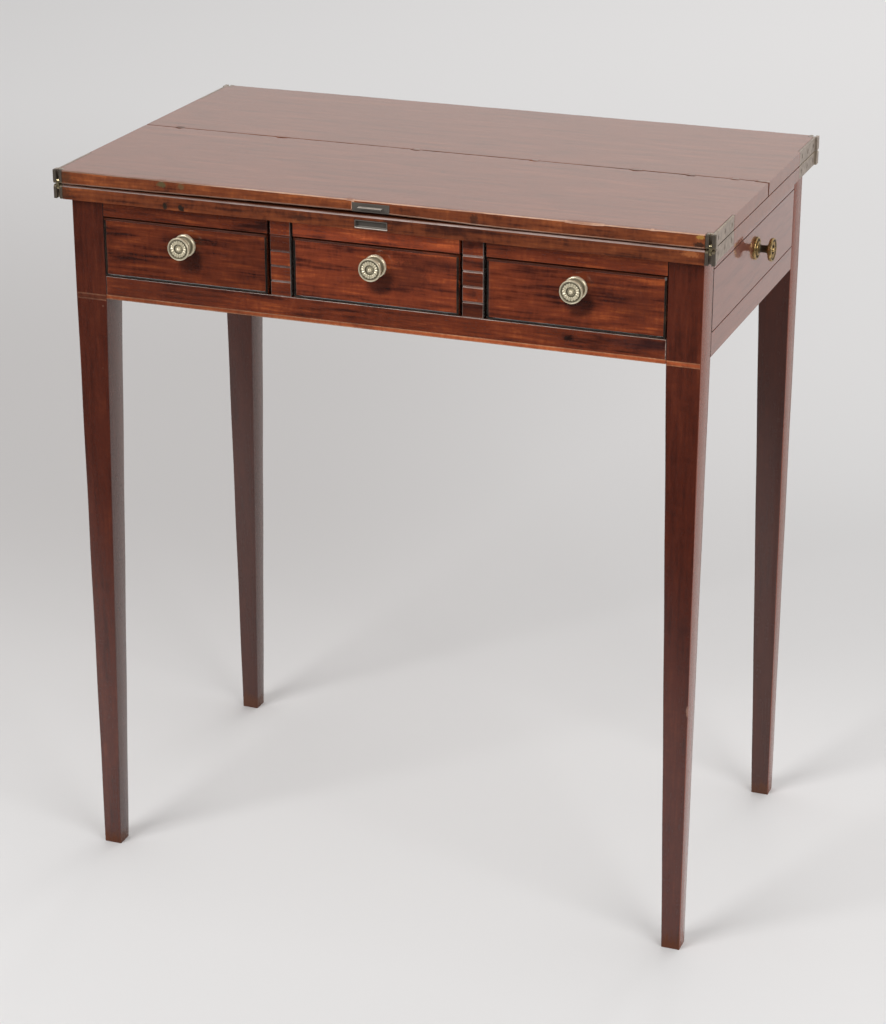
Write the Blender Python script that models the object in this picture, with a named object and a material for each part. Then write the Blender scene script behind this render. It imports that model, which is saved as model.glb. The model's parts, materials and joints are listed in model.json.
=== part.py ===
"""Flap-top occasional table in mahogany, with brass link hinges at the four corners of its top.

The frame has four tapered legs and a frieze with three drawers. Two flaps lie folded on the top board and
meet at a seam along its middle. Each flap turns over on a pair of double-pin hinges, and then rests on two
lopers that pull out between the drawers. The front is -Y, the right-hand end is +X, and the floor is z = 0.
"""

from math import cos, pi, sin

import bmesh
import bpy
from mathutils import Matrix, Vector

# Driving sizes of the whole table, in metres.
table_height = 0.711
top_length = 0.634
top_depth = 0.382
leaf_thickness = 0.0132
fold_gap = 0.001
flap_seam = 0.0015
end_overhang = 0.010
front_overhang = 0.012
frieze_height = 0.0971
bottom_rail_height = 0.0225
top_rail_height = 0.0166

# Clearances: where one piece seats on another, where one slides past another, and what a cutter overruns.
seat_gap = 0.0003
slide_gap = 0.0008
overrun = 0.004

# Legs.
leg_width = 0.032
foot_width = 0.018
leg_arris = 0.0007

# Rails of the frame.
front_rail_thickness = 0.022
top_rail_thickness = 0.018
back_rail_thickness = 0.020
end_rail_thickness = 0.022

# Joints of the rails with the legs: tenons, and dovetails on the rails over the drawers.
tenon_length = 0.016
tenon_thickness = 0.007
tenon_shoulder = 0.004
rail_tail_length = 0.012
rail_tail_thickness = 0.008
rail_tail_root = 0.009
rail_tail_flare = 0.002

# Sham drawer front at the right-hand end.
sham_thickness = 0.010
sham_gap = 0.0012

# Edges of the leaves.
fold_arris = 0.0015
flap_top_arris = 0.0009

# Double-pin hinges at the corners of the leaves.
pin_inset = 0.0025
pin_radius = 0.0009
pin_clearance = 0.0001
fork_width = 0.009
fork_proud = 0.002
fork_depth = 0.008
fork_slot_width = 0.0031
link_thickness = 0.0025
link_side_gap = 0.0003
strap_length = 0.070
strap_thickness = 0.002

# Locating tongues on the flaps, and their sockets in the edges of the board.
catch_offset = 0.0008
catch_height = 0.0066
tongue_plate_length = 0.036
tongue_plate_width = 0.0082
tongue_plate_thickness = 0.0015
tongue_length = 0.023
tongue_thickness = 0.0015
tongue_reach = 0.0035
socket_mouth_length = 0.030
socket_mouth_height = 0.006
socket_mouth_lift = 0.0014
socket_wall = 0.0008
socket_depth = 0.0036

# Lopers, the sliding bearers that carry an open flap.
loper_place = 0.094
loper_width = 0.020
loper_meeting_gap = 0.008
loper_held = 0.050
loper_show_gap = 0.0025
loper_top_gap = 0.0005
loper_block_count = 5
loper_groove_width = 0.0012
guide_thickness = 0.008
bearer_thickness = 0.008
bearer_flange = 0.012
peg_radius = 0.0025
peg_rise = 0.004
peg_place = 0.029
peg_groove_gap = 0.0007

# Runners for the outer sides of the end drawers.
runner_ledge = 0.013
runner_thickness = 0.008
runner_guide_rise = 0.012

# Drawers.
drawer_rear_gap = 0.013
drawer_gap = 0.001
drawer_front_thickness = 0.018
drawer_side_thickness = 0.007
drawer_back_thickness = 0.007
drawer_bottom_thickness = 0.0045
drawer_bottom_lift = 0.005
drawer_groove_depth = 0.003
drawer_side_drop = 0.0015
drawer_back_drop = 0.004
tail_length = 0.0105
tail_root_width = 0.0115
tail_flare = 0.0018
tail_place_shares = (0.27, 0.73)
cockbead_width = 0.0024
cockbead_proud = 0.0006
cockbead_steps = 4

# Turned brass knobs. The outline is given from the drawer front outwards.
knob_lift = 0.0095
knob_plate_radius = 0.01125
knob_plate_edge = 0.0012
knob_rim_height = 0.0030
knob_rim_width = 0.0011
knob_dish_height = 0.0018
knob_collar_radius = 0.0068
knob_collar_height = 0.0040
knob_neck_radius = 0.0035
knob_neck_place = 0.0090
knob_disc_radius = 0.01135
knob_disc_back = 0.0168
knob_disc_edge = 0.0192
knob_disc_rim = 0.0207
knob_face_rim_width = 0.0018
knob_face_place = 0.0199
knob_boss_radius = 0.0032
knob_boss_top_share = 0.8
knob_length = 0.0215
knob_stem_radius = 0.0016
knob_stem_length = 0.013
knob_sides = 16
small_sides = 8
pin_sides = 12

# Levels, from the floor up.
board_under = table_height - 2 * leaf_thickness - fold_gap
board_top = board_under + leaf_thickness
flap_under = board_top + fold_gap
frieze_bottom = board_under - frieze_height
frame_top = board_under - seat_gap
opening_bottom = frieze_bottom + bottom_rail_height
opening_top = board_under - top_rail_height

# Outer and inner faces of the top and the frame.
top_x = top_length / 2
top_y = top_depth / 2
frame_x = top_x - end_overhang
frame_y = top_y - front_overhang
leg_inner_x = frame_x - leg_width
leg_inner_y = frame_y - leg_width
back_rail_inner = frame_y - back_rail_thickness
front_rail_back = -frame_y + front_rail_thickness
end_rail_inner = frame_x - end_rail_thickness

# Faces of the guides that stand on both sides of each loper, and of the slot that the front shows.
guide_near = loper_place - loper_width / 2 - slide_gap - guide_thickness
guide_far = loper_place + loper_width / 2 + slide_gap + guide_thickness
show_near = loper_place - loper_width / 2 - loper_show_gap
show_far = loper_place + loper_width / 2 + loper_show_gap

# The pins of a front hinge. Those of a rear hinge are the same with y turned round.
pin_y = -(top_y - pin_inset)
board_pin_z = board_top - pin_inset
flap_pin_z = flap_under + pin_inset
link_end_radius = pin_inset - link_side_gap
fork_slot_depth = pin_inset + link_end_radius + link_side_gap
fork_inner_x = top_x + fork_proud - fork_width
fork_middle_x = fork_inner_x + fork_width / 2

# A loper reaches almost to the one behind it, and its held part stays inside when it is pulled out.
loper_length = frame_y - loper_meeting_gap / 2
loper_travel = loper_length - loper_held

drawer_front_back = -frame_y + drawer_front_thickness
drawer_rear = back_rail_inner - drawer_rear_gap
drawer_lip = drawer_front_thickness - tail_length
knob_level = (opening_bottom + opening_top) / 2 + knob_lift


def clear_scene():
    for old in list(bpy.data.objects):
        bpy.data.objects.remove(old, do_unlink=True)


def finish(name, colour, roughness, metallic=0.0):
    """A material with one colour and gloss."""
    material = bpy.data.materials.new(name)
    material.use_nodes = True
    shader = material.node_tree.nodes["Principled BSDF"]
    shader.inputs["Base Color"].default_value = (*colour, 1.0)
    shader.inputs["Roughness"].default_value = roughness
    shader.inputs["Metallic"].default_value = metallic
    return material


def add_prism(bm, outline, axis, start, end):
    """Extrudes a flat outline along one axis. Its points are (y, z) on X, (x, z) on Y and (x, y) on Z."""
    place = {
        "X": lambda a, b: (start, a, b),
        "Y": lambda a, b: (a, start, b),
        "Z": lambda a, b: (a, b, start),
    }[axis]
    shift = Vector([(end - start) * (letter == axis) for letter in "XYZ"])
    face = bm.faces.new([bm.verts.new(place(a, b)) for a, b in outline])
    side = bmesh.ops.extrude_face_region(bm, geom=[face])["geom"]
    bmesh.ops.translate(bm, vec=shift, verts=[v for v in side if isinstance(v, bmesh.types.BMVert)])


def add_block(bm, x_span, y_span, z_span):
    """A rectangular block between two values on each axis."""
    (x0, x1), (y0, y1), z = x_span, y_span, sorted(z_span)
    add_prism(bm, [(x0, y0), (x1, y0), (x1, y1), (x0, y1)], "Z", *z)


def add_turned(bm, profile, centre, direction, sides):
    """Turns a profile of (radius, distance along direction) points round a line through centre."""
    turn = Vector((0, 0, 1)).rotation_difference(Vector(direction)).to_matrix()
    rings = []
    for radius, along in profile:
        angles = [2 * pi * (k + 0.5) / sides for k in range(sides if radius else 1)]
        ring = [Vector((radius * cos(a), radius * sin(a), along)) for a in angles]
        rings.append([bm.verts.new(turn @ p + Vector(centre)) for p in ring])
    for low, high in zip(rings, rings[1:]):
        for k in range(sides):
            n = k + 1
            corners = (low[k % len(low)], low[n % len(low)], high[n % len(high)], high[k % len(high)])
            bm.faces.new(dict.fromkeys(corners))


def add_rod(bm, radius, start, end, sides):
    """A round rod from one point to another."""
    way = Vector(end) - Vector(start)
    add_turned(bm, [(0, 0), (radius, 0), (radius, way.length), (0, way.length)], start, way, sides)


def round_edges(bm, chosen, width, segments):
    """Rounds the edges for which chosen(first point, second point) is true."""
    edges = [e for e in bm.edges if chosen(e.verts[0].co, e.verts[1].co)]
    bmesh.ops.bevel(bm, geom=edges, offset=width, segments=segments, profile=0.5, affect="EDGES")


def near(a, b):
    return abs(a - b) < seat_gap / 3


def piece(name, bm, material, pivot=None, smooth=False):
    """Makes an object of a bmesh, with its faces outwards, riding on pivot where it moves."""
    bmesh.ops.recalc_face_normals(bm, faces=bm.faces)
    mesh = bpy.data.meshes.new(name)
    bm.to_mesh(mesh)
    bm.free()
    mesh.materials.append(material)
    if smooth:
        mesh.shade_smooth()
        mesh.set_sharp_from_angle(angle=pi / 5)
    made = bpy.data.objects.new(name, mesh)
    bpy.context.scene.collection.objects.link(made)
    if pivot:
        made.parent = pivot
        made.matrix_parent_inverse = Matrix.Translation(-Vector(pivot["place"]))
    return made


def cut(bodies, name, bm):
    """Cuts the shape in a bmesh out of each of the bodies."""
    cutter = piece("cutter_" + name, bm, brass)
    cutter.hide_render = True
    cutter.display_type = "WIRE"
    for body in bodies:
        boolean = body.modifiers.new(name, "BOOLEAN")
        boolean.operation = "DIFFERENCE"
        boolean.solver = "EXACT"
        boolean.object = cutter


def joint_empty(name, place, parent=None):
    """An empty on a joint's axis, which carries the pieces that the joint moves."""
    empty = bpy.data.objects.new(name, None)
    empty["place"] = place
    bpy.context.scene.collection.objects.link(empty)
    empty.location = Vector(place) - (Vector(parent["place"]) if parent else Vector())
    empty.parent = parent
    return empty


def leg(name, side_x, side_y):
    """A square post in the frieze, tapered below it on its two inner faces only."""
    bm = bmesh.new()
    rings = []
    for z, width in ((0, foot_width), (frieze_bottom, leg_width), (frame_top, leg_width)):
        x, y = side_x * frame_x, side_y * frame_y
        in_x, in_y = x - side_x * width, y - side_y * width
        rings.append([bm.verts.new(p) for p in ((x, y, z), (in_x, y, z), (in_x, in_y, z), (x, in_y, z))])
    bm.faces.new(rings[0])
    bm.faces.new(rings[-1])
    for low, high in zip(rings, rings[1:]):
        for k in range(4):
            bm.faces.new((low[k], low[(k + 1) % 4], high[(k + 1) % 4], high[k]))
    x, y = side_x * frame_x, side_y * frame_y
    round_edges(bm, lambda *ends: all(near(p.x, x) and near(p.y, y) for p in ends), leg_arris, 2)
    return piece(name, bm, mahogany)


def rail(name, x_span, y_span, z_span):
    bm = bmesh.new()
    add_block(bm, x_span, y_span, z_span)
    return piece(name, bm, mahogany)


def tenon(name, axis, side, shoulder, middle, z_span, held_rail, post):
    """A tenon on one end of a rail that runs along axis, in a mortise of its leg.

    The rail ends at shoulder on that side, and middle is the middle of the tenon's thickness.
    """
    blade, mortise = bmesh.new(), bmesh.new()
    for bm, root, length, spare in ((blade, overrun, tenon_length, 0),
                                    (mortise, 0, tenon_length + seat_gap, seat_gap)):
        along = (side * (shoulder - root), side * (shoulder + length))
        half = tenon_thickness / 2 + spare
        spans = {axis: along, "Y" if axis == "X" else "X": (middle - half, middle + half)}
        add_block(bm, spans["X"], spans["Y"],
                  (z_span[0] + tenon_shoulder - spare, z_span[1] - tenon_shoulder + spare))
    join(held_rail, name + "_tenon", blade)
    cut([post], name + "_mortise", mortise)


def top_rail_tail(name, side, shoulder, middle, held_rail, post):
    """A dovetail on the outer end of a top rail, let into the top of its leg."""
    tail, housing = bmesh.new(), bmesh.new()
    flare = rail_tail_flare / rail_tail_length
    for bm, root, length, spare, rise in ((tail, overrun, rail_tail_length, 0, 0),
                                          (housing, 0, rail_tail_length + seat_gap, seat_gap, overrun)):
        inner, outer = side * (shoulder - root), side * (shoulder + length)
        root_half = rail_tail_root / 2 - flare * root + spare
        tip_half = rail_tail_root / 2 + flare * length + spare
        outline = [(inner, middle - root_half), (outer, middle - tip_half),
                   (outer, middle + tip_half), (inner, middle + root_half)]
        add_prism(bm, outline, "Z", frame_top - rail_tail_thickness - spare, frame_top + rise)
    join(held_rail, name + "_tail", tail)
    cut([post], name + "_tail_housing", housing)


def front_rails(legs):
    """The rail under the drawers, and three short rails over them, which the lopers part."""
    reach = leg_inner_x - seat_gap
    face, back = -frame_y, -frame_y + top_rail_thickness
    z_span = (frieze_bottom, opening_bottom)
    bottom = rail("front_bottom_rail", (-reach, reach), (face, front_rail_back), z_span)
    for name, span, side in (("left", (-reach, -show_far), -1), ("middle", (-show_near, show_near), 0),
                             ("right", (show_far, reach), 1)):
        top = rail("front_top_rail_" + name, span, (face, back), (opening_top, frame_top))
        if side:
            post = legs[side, -1]
            tenon(f"front_bottom_rail_{name}", "X", side, reach, (face + front_rail_back) / 2, z_span,
                  bottom, post)
            top_rail_tail(f"front_top_rail_{name}", side, reach, (face + back) / 2, top, post)


def back_rail(legs):
    """One board between the rear legs, notched from the top for the two rear lopers."""
    reach = leg_inner_x - seat_gap
    half_notch = loper_width / 2 + slide_gap
    outline = [(-reach, frieze_bottom), (reach, frieze_bottom), (reach, frame_top)]
    for centre in (loper_place, -loper_place):
        right, left = centre + half_notch, centre - half_notch
        outline += [(right, frame_top), (right, opening_bottom), (left, opening_bottom), (left, frame_top)]
    outline.append((-reach, frame_top))
    bm = bmesh.new()
    add_prism(bm, outline, "Y", back_rail_inner, frame_y)
    made = piece("back_rail", bm, mahogany)
    for name, side in (("left", -1), ("right", 1)):
        tenon(f"back_rail_{name}", "X", side, reach, (back_rail_inner + frame_y) / 2,
              (frieze_bottom, frame_top), made, legs[side, 1])


def end_rails(legs):
    """The ends between the legs, each with a drawer runner inside.

    A sham drawer front fills the right-hand one.
    """
    reach = leg_inner_y - seat_gap
    ledge = leg_inner_x - runner_ledge
    guide_top, ledge_under = opening_bottom + runner_guide_rise, opening_bottom - runner_thickness
    inside = [(end_rail_inner, frame_top), (end_rail_inner, guide_top), (leg_inner_x, guide_top),
              (leg_inner_x, opening_bottom), (ledge, opening_bottom), (ledge, ledge_under),
              (end_rail_inner, ledge_under), (end_rail_inner, frieze_bottom)]
    step = frame_x - sham_thickness - seat_gap
    plain = [(frame_x, frieze_bottom), (frame_x, frame_top)]
    stepped = [plain[0], (frame_x, opening_bottom), (step, opening_bottom), (step, frame_top)]
    rails = []
    for name, side_x, outside in (("left_end_rail", -1, plain), ("right_end_rail", 1, stepped)):
        bm = bmesh.new()
        add_prism(bm, [(side_x * x, z) for x, z in inside + outside], "Y", -reach, reach)
        rails.append(piece(name, bm, mahogany))
        for end, side_y in (("front", -1), ("rear", 1)):
            tenon(f"{name}_{end}", "Y", side_y, reach, side_x * (end_rail_inner + step) / 2,
                  (frieze_bottom, frame_top), rails[-1], legs[side_x, side_y])
    sham = rail("right_end_sham_front", (frame_x - sham_thickness, frame_x),
                (sham_gap - leg_inner_y, leg_inner_y - sham_gap), (opening_bottom + sham_gap, frame_top))
    knob("right_end_knob", (frame_x, 0, knob_level), (1, 0, 0), [sham, rails[1]])


def knob_profile():
    """A dished plate with a rim, a collar, a waisted neck, and a disc whose face has a rim and a boss."""
    rim_inside = knob_plate_radius - 2 * knob_rim_width
    face_inside = knob_disc_radius - knob_face_rim_width
    return [
        (0, -knob_stem_length),
        (knob_stem_radius, -knob_stem_length),
        (knob_stem_radius, seat_gap),
        (knob_plate_radius, seat_gap),
        (knob_plate_radius, knob_plate_edge),
        (knob_plate_radius - knob_rim_width, knob_rim_height),
        (rim_inside, knob_dish_height),
        (knob_collar_radius, knob_dish_height),
        (knob_collar_radius, knob_collar_height),
        ((knob_collar_radius + knob_neck_radius) / 2, (knob_collar_height + knob_neck_place) / 2),
        (knob_neck_radius, knob_neck_place),
        ((knob_collar_radius + knob_neck_radius) / 2, (knob_neck_place + knob_disc_back) / 2),
        (knob_disc_radius - knob_rim_width, knob_disc_back),
        (knob_disc_radius, knob_disc_edge),
        (knob_disc_radius - knob_face_rim_width / 2, knob_disc_rim),
        (face_inside, knob_face_place),
        (knob_boss_radius, knob_face_place),
        (knob_boss_radius * knob_boss_top_share, (knob_face_place + knob_length) / 2),
        (0, knob_length),
    ]


def knob(name, place, outwards, held_in, pivot=None):
    """A turned knob with its stem in a hole of what it is fixed to."""
    bm = bmesh.new()
    add_turned(bm, knob_profile(), place, outwards, knob_sides)
    piece(name, bm, brass, pivot, smooth=True)
    hole = bmesh.new()
    inwards = Vector(outwards) * -(knob_stem_length + seat_gap)
    ends = (Vector(place) - inwards, Vector(place) + inwards)
    add_rod(hole, knob_stem_radius + seat_gap, *ends, small_sides)
    cut(held_in, name + "_hole", hole)


def leaf_corner(side_y):
    """Where a leaf is cut back for the strap and the fork of a hinge, from its end towards its edge."""
    strap_end = top_y - strap_length - seat_gap
    strap_in = top_x - strap_thickness - seat_gap
    fork_end = top_y - fork_depth - seat_gap
    fork_in = fork_inner_x - seat_gap
    corner = [(top_x, strap_end), (strap_in, strap_end), (strap_in, fork_end), (fork_in, fork_end),
              (fork_in, top_y)]
    return [(x, side_y * y) for x, y in corner]


def leaf_edge(side_y):
    """The outline of a leaf along a hinged edge, from its right end to its left."""
    right = leaf_corner(side_y)
    return right + [(-x, y) for x, y in reversed(right)]


def top_board():
    """The fixed leaf of the top, hinged along its front and its back."""
    bm = bmesh.new()
    outline = leaf_edge(1) + leaf_edge(-1)[::-1]
    add_prism(bm, outline, "Z", board_under, board_top)
    for side_y in (-1, 1):
        round_hinged_edge(bm, side_y, board_top, fold_arris)
    return piece("top_board", bm, mahogany)


def round_hinged_edge(bm, side_y, level, width, segments=3):
    """Rounds the long arris of a leaf, or of its hinge plate, at one level of the hinged edge."""
    y = side_y * top_y
    round_edges(bm, lambda *ends: all(near(p.y, y) and near(p.z, level) for p in ends),
                width, segments)


def flap(name, side_y, pivot):
    """A leaf that lies folded on its half of the board."""
    inner = side_y * flap_seam / 2
    bm = bmesh.new()
    add_prism(bm, leaf_edge(side_y) + [(-top_x, inner), (top_x, inner)], "Z", flap_under, table_height)
    round_hinged_edge(bm, side_y, flap_under, fold_arris)
    round_hinged_edge(bm, side_y, table_height, flap_top_arris)
    return piece(name, bm, mahogany, pivot)


def hinge_plate(name, side_x, side_y, under, fold_level, pin_z, pivot=None):
    """A forked knuckle and its strap, of the leaf's thickness, with a pin fixed across the fork."""
    slot = (fork_middle_x - fork_slot_width / 2, fork_middle_x + fork_slot_width / 2)
    outline = [
        (top_x, top_y - strap_length),
        (top_x - strap_thickness, top_y - strap_length),
        (top_x - strap_thickness, top_y - fork_depth),
        (fork_inner_x, top_y - fork_depth),
        (fork_inner_x, top_y),
        (slot[0], top_y),
        (slot[0], top_y - fork_slot_depth),
        (slot[1], top_y - fork_slot_depth),
        (slot[1], top_y),
        (top_x + fork_proud, top_y),
        (top_x + fork_proud, top_y - fork_depth),
        (top_x, top_y - fork_depth),
    ]
    bm = bmesh.new()
    add_prism(bm, [(side_x * x, side_y * y) for x, y in outline], "Z", under, under + leaf_thickness)
    round_hinged_edge(bm, side_y, fold_level, pin_inset, 4)
    made = piece(name, bm, brass, pivot)
    pin = bmesh.new()
    hold = (fork_width - fork_slot_width) / 4
    ends = [(side_x * x, -side_y * pin_y, pin_z) for x in (slot[0] - hold, slot[1] + hold)]
    add_rod(pin, pin_radius, *ends, pin_sides)
    join(made, name + "_pin", pin)


def hinge_link(name, side_x, side_y, pivot):
    """A flat bar with round ends, bored for the board's pin and the flap's."""
    y = -side_y * pin_y
    steps = pin_sides // 2
    outline = []
    for level, first in ((flap_pin_z, 0), (board_pin_z, pi)):
        for k in range(steps + 1):
            angle = first + pi * k / steps
            outline.append((y + link_end_radius * cos(angle), level + link_end_radius * sin(angle)))
    bar, holes = bmesh.new(), bmesh.new()
    faces = [side_x * (fork_middle_x + half * link_thickness) for half in (-0.5, 0.5)]
    add_prism(bar, outline, "X", *faces)
    made = piece(name, bar, brass, pivot)
    reach = link_thickness + 2 * seat_gap
    for level in (flap_pin_z, board_pin_z):
        ends = [(side_x * (fork_middle_x + half * reach), y, level) for half in (-0.5, 0.5)]
        add_rod(holes, pin_radius + pin_clearance, *ends, pin_sides)
    cut([made], name + "_holes", holes)


def tongue(name, side_y, leaf, pivot):
    """A plate let into a flap's hinged edge, with a flat tongue that enters the socket of the open top."""
    level = flap_under + catch_height
    bm, recess = bmesh.new(), bmesh.new()
    half_plate, half_tongue = tongue_plate_length / 2, tongue_length / 2
    half_width, half_thick = tongue_plate_width / 2, tongue_thickness / 2
    back, face, tip = top_y - tongue_plate_thickness, top_y, top_y + tongue_reach
    add_block(bm, (catch_offset - half_plate, catch_offset + half_plate), (side_y * back, side_y * face),
              (level - half_width, level + half_width))
    made = piece(name, bm, brass, pivot)
    blade = bmesh.new()
    add_block(blade, (catch_offset - half_tongue, catch_offset + half_tongue),
              (side_y * (back + face) / 2, side_y * tip), (level - half_thick, level + half_thick))
    join(made, name + "_blade", blade)
    add_block(recess, (catch_offset - half_plate - seat_gap, catch_offset + half_plate + seat_gap),
              (side_y * (back - seat_gap), side_y * (face + overrun)),
              (level - half_width - seat_gap, level + half_width + seat_gap))
    cut([leaf], name + "_recess", recess)


def join(body, name, bm):
    """Joins the shape in a bmesh to a body."""
    added = piece("joined_" + name, bm, brass)
    added.hide_render = True
    added.display_type = "WIRE"
    boolean = body.modifiers.new(name, "BOOLEAN")
    boolean.operation = "UNION"
    boolean.solver = "EXACT"
    boolean.object = added


def socket(name, side_y, board):
    """A shallow brass box let into the board's edge, open to the tongue of the flap."""
    middle = board_top - catch_height - socket_mouth_lift
    half_length, half_height = socket_mouth_length / 2, socket_mouth_height / 2
    body, mouth, recess = bmesh.new(), bmesh.new(), bmesh.new()
    for bm, spare, deep, out in ((body, socket_wall, socket_depth + socket_wall, 0),
                                 (mouth, 0, socket_depth, overrun),
                                 (recess, socket_wall + seat_gap, socket_depth + socket_wall + seat_gap,
                                  overrun)):
        add_block(bm, (catch_offset - half_length - spare, catch_offset + half_length + spare),
                  (side_y * (top_y + out), side_y * (top_y - deep)),
                  (middle - half_height - spare, middle + half_height + spare))
    made = piece(name, body, brass)
    cut([made], name + "_mouth", mouth)
    cut([board], name + "_recess", recess)


def loper(name, side_x, side_y):
    """A slide, with a long groove under it for a peg.

    Fine grooves part its front end into blocks, the highest of them level with the tops of the drawers.
    """
    pivot = joint_empty(name + "_slide", (side_x * loper_place, side_y * frame_y, opening_bottom))
    low, high = opening_bottom + seat_gap, board_under - loper_top_gap
    block = (opening_top - low) / (loper_block_count - 1)
    outline = [(frame_y, low)]
    for k in range(1, loper_block_count if side_y < 0 else 1):
        groove = low + k * block - loper_groove_width
        inside = frame_y - loper_groove_width
        outline += [(frame_y, groove), (inside, groove), (inside, groove + loper_groove_width),
                    (frame_y, groove + loper_groove_width)]
    outline += [(frame_y, high), (frame_y - loper_length, high), (frame_y - loper_length, low)]
    bm = bmesh.new()
    x = [side_x * loper_place + half * loper_width for half in (-0.5, 0.5)]
    add_prism(bm, [(side_y * y, z) for y, z in outline], "X", *x)
    made = piece(name, bm, mahogany, pivot)
    groove = bmesh.new()
    reach = peg_radius + peg_groove_gap
    start = frame_y - peg_place + reach
    add_block(groove, (side_x * loper_place - reach, side_x * loper_place + reach),
              (side_y * start, side_y * (start - 2 * reach - loper_travel)),
              (low - overrun, opening_bottom + peg_rise + peg_groove_gap))
    cut([made], name + "_peg_groove", groove)


def loper_housing(name, side_x):
    """Two guides for a front and a rear loper, and the bearer that both slide on, with stop pegs."""
    behind_rail = -frame_y + top_rail_thickness + seat_gap
    front = -frame_y + drawer_lip + slide_gap
    back = back_rail_inner - seat_gap
    low = opening_bottom + seat_gap
    notch = opening_top - seat_gap
    outline = [(front, low), (back, low), (back, frame_top), (behind_rail, frame_top), (behind_rail, notch),
               (front, notch)]
    for place, face in (("inner", guide_near), ("outer", guide_far - guide_thickness)):
        guide = bmesh.new()
        add_prism(guide, outline, "X", side_x * face, side_x * (face + guide_thickness))
        piece(f"{name}_{place}_guide", guide, oak)
    board, pegs = bmesh.new(), bmesh.new()
    add_block(board, (side_x * (guide_near - bearer_flange), side_x * (guide_far + bearer_flange)),
              (front_rail_back + seat_gap, back), (opening_bottom - bearer_thickness, opening_bottom))
    for side_y in (-1, 1):
        x, y = side_x * loper_place, side_y * (frame_y - peg_place)
        foot, tip = opening_bottom - bearer_thickness / 2, opening_bottom + peg_rise
        add_rod(pegs, peg_radius, (x, y, foot), (x, y, tip), small_sides)
    bearer = piece(name + "_bearer", board, oak)
    join(bearer, name + "_pegs", pegs)


def drawer(name, front_x, box_x):
    """A drawer whose front spans front_x and whose sides stand within box_x."""
    pivot = joint_empty(name + "_slide", (sum(front_x) / 2, -frame_y, opening_bottom))
    front = drawer_front(name, front_x, box_x, pivot)
    low = opening_bottom + seat_gap
    high = opening_top - drawer_side_drop
    root = drawer_front_back + seat_gap
    tip = drawer_front_back - tail_length + seat_gap
    sockets = bmesh.new()
    outline = [(drawer_rear, low), (root, low)]
    for share in tail_place_shares:
        middle = low + share * (high - low)
        half = tail_root_width / 2
        outline += [(root, middle - half), (tip, middle - half - tail_flare),
                    (tip, middle + half + tail_flare), (root, middle + half)]
        spare = half + seat_gap
        slope = tail_flare * (overrun + seat_gap) / tail_length
        deep = tip - seat_gap
        socket_outline = [(root + overrun, middle - spare + slope), (deep, middle - spare - tail_flare),
                          (deep, middle + spare + tail_flare), (root + overrun, middle + spare - slope)]
        for x, side in zip(box_x, (-1, 1)):
            inside = x - side * (drawer_side_thickness + seat_gap)
            add_prism(sockets, socket_outline, "X", inside, x + side * overrun)
    outline += [(root, high), (drawer_rear, high)]
    sides = []
    for end, x, side in zip(("left", "right"), box_x, (-1, 1)):
        tails = bmesh.new()
        add_prism(tails, outline, "X", x - side * drawer_side_thickness, x)
        sides.append(piece(f"{name}_{end}_side", tails, oak, pivot))
    cut([front], name + "_sockets", sockets)
    inner = (box_x[0] + drawer_side_thickness, box_x[1] - drawer_side_thickness)
    drawer_floor(name, inner, low, [front, *sides], pivot)
    back = bmesh.new()
    floor_top = low + drawer_bottom_lift + drawer_bottom_thickness
    add_block(back, (inner[0] + seat_gap, inner[1] - seat_gap),
              (drawer_rear - drawer_back_thickness, drawer_rear),
              (floor_top + seat_gap, high - drawer_back_drop))
    piece(name + "_back", back, oak, pivot)
    knob(name + "_knob", (sum(front_x) / 2, -frame_y, knob_level), (0, -1, 0), [front], pivot)


def add_beaded_panel(bm, x, z, face, back):
    """A board that faces -Y, with a half-round bead round the edge of its face."""
    half = cockbead_width / 2
    profile = [(0, back)]
    for k in range(cockbead_steps + 1):
        angle = pi * k / cockbead_steps
        profile.append((half - half * cos(angle), face - cockbead_proud * sin(angle)))
    rings = []
    for inset, y in profile:
        x0, x1, z0, z1 = x[0] + inset, x[1] - inset, z[0] + inset, z[1] - inset
        rings.append([bm.verts.new(p) for p in ((x0, y, z0), (x1, y, z0), (x1, y, z1), (x0, y, z1))])
    bm.faces.new(rings[0])
    bm.faces.new(rings[-1])
    for first, second in zip(rings, rings[1:]):
        for k in range(4):
            bm.faces.new((first[k], first[(k + 1) % 4], second[(k + 1) % 4], second[k]))


def drawer_front(name, front_x, box_x, pivot):
    """A front with a bead round its edge. Where it overlaps a guide, its end is thinned to a lip."""
    x = (front_x[0] + drawer_gap, front_x[1] - drawer_gap)
    z = (opening_bottom + drawer_gap, opening_top - drawer_gap)
    bm = bmesh.new()
    add_beaded_panel(bm, x, z, -frame_y, drawer_front_back)
    front = piece(name + "_front", bm, mahogany, pivot)
    lips = bmesh.new()
    for edge, box_edge, side in zip(x, box_x, (-1, 1)):
        if abs(edge - box_edge) > drawer_gap:
            add_block(lips, (box_edge, edge + side * overrun),
                      (-frame_y + drawer_lip, drawer_front_back + overrun),
                      (z[0] - overrun, z[1] + overrun))
    cut([front], name + "_lips", lips)
    return front


def drawer_floor(name, inner, low, grooved, pivot):
    """A thin board held in grooves of the sides and the front, which runs out under the back."""
    floor, groove = bmesh.new(), bmesh.new()
    bottom = low + drawer_bottom_lift
    for bm, spare, out in ((floor, 0, 0), (groove, seat_gap, overrun)):
        reach = drawer_groove_depth - seat_gap + spare
        add_block(bm, (inner[0] - reach, inner[1] + reach), (drawer_front_back - reach, drawer_rear + out),
                  (bottom - spare, bottom + drawer_bottom_thickness + spare))
    piece(name + "_bottom", floor, oak, pivot)
    cut(grooved, name + "_groove", groove)


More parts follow.
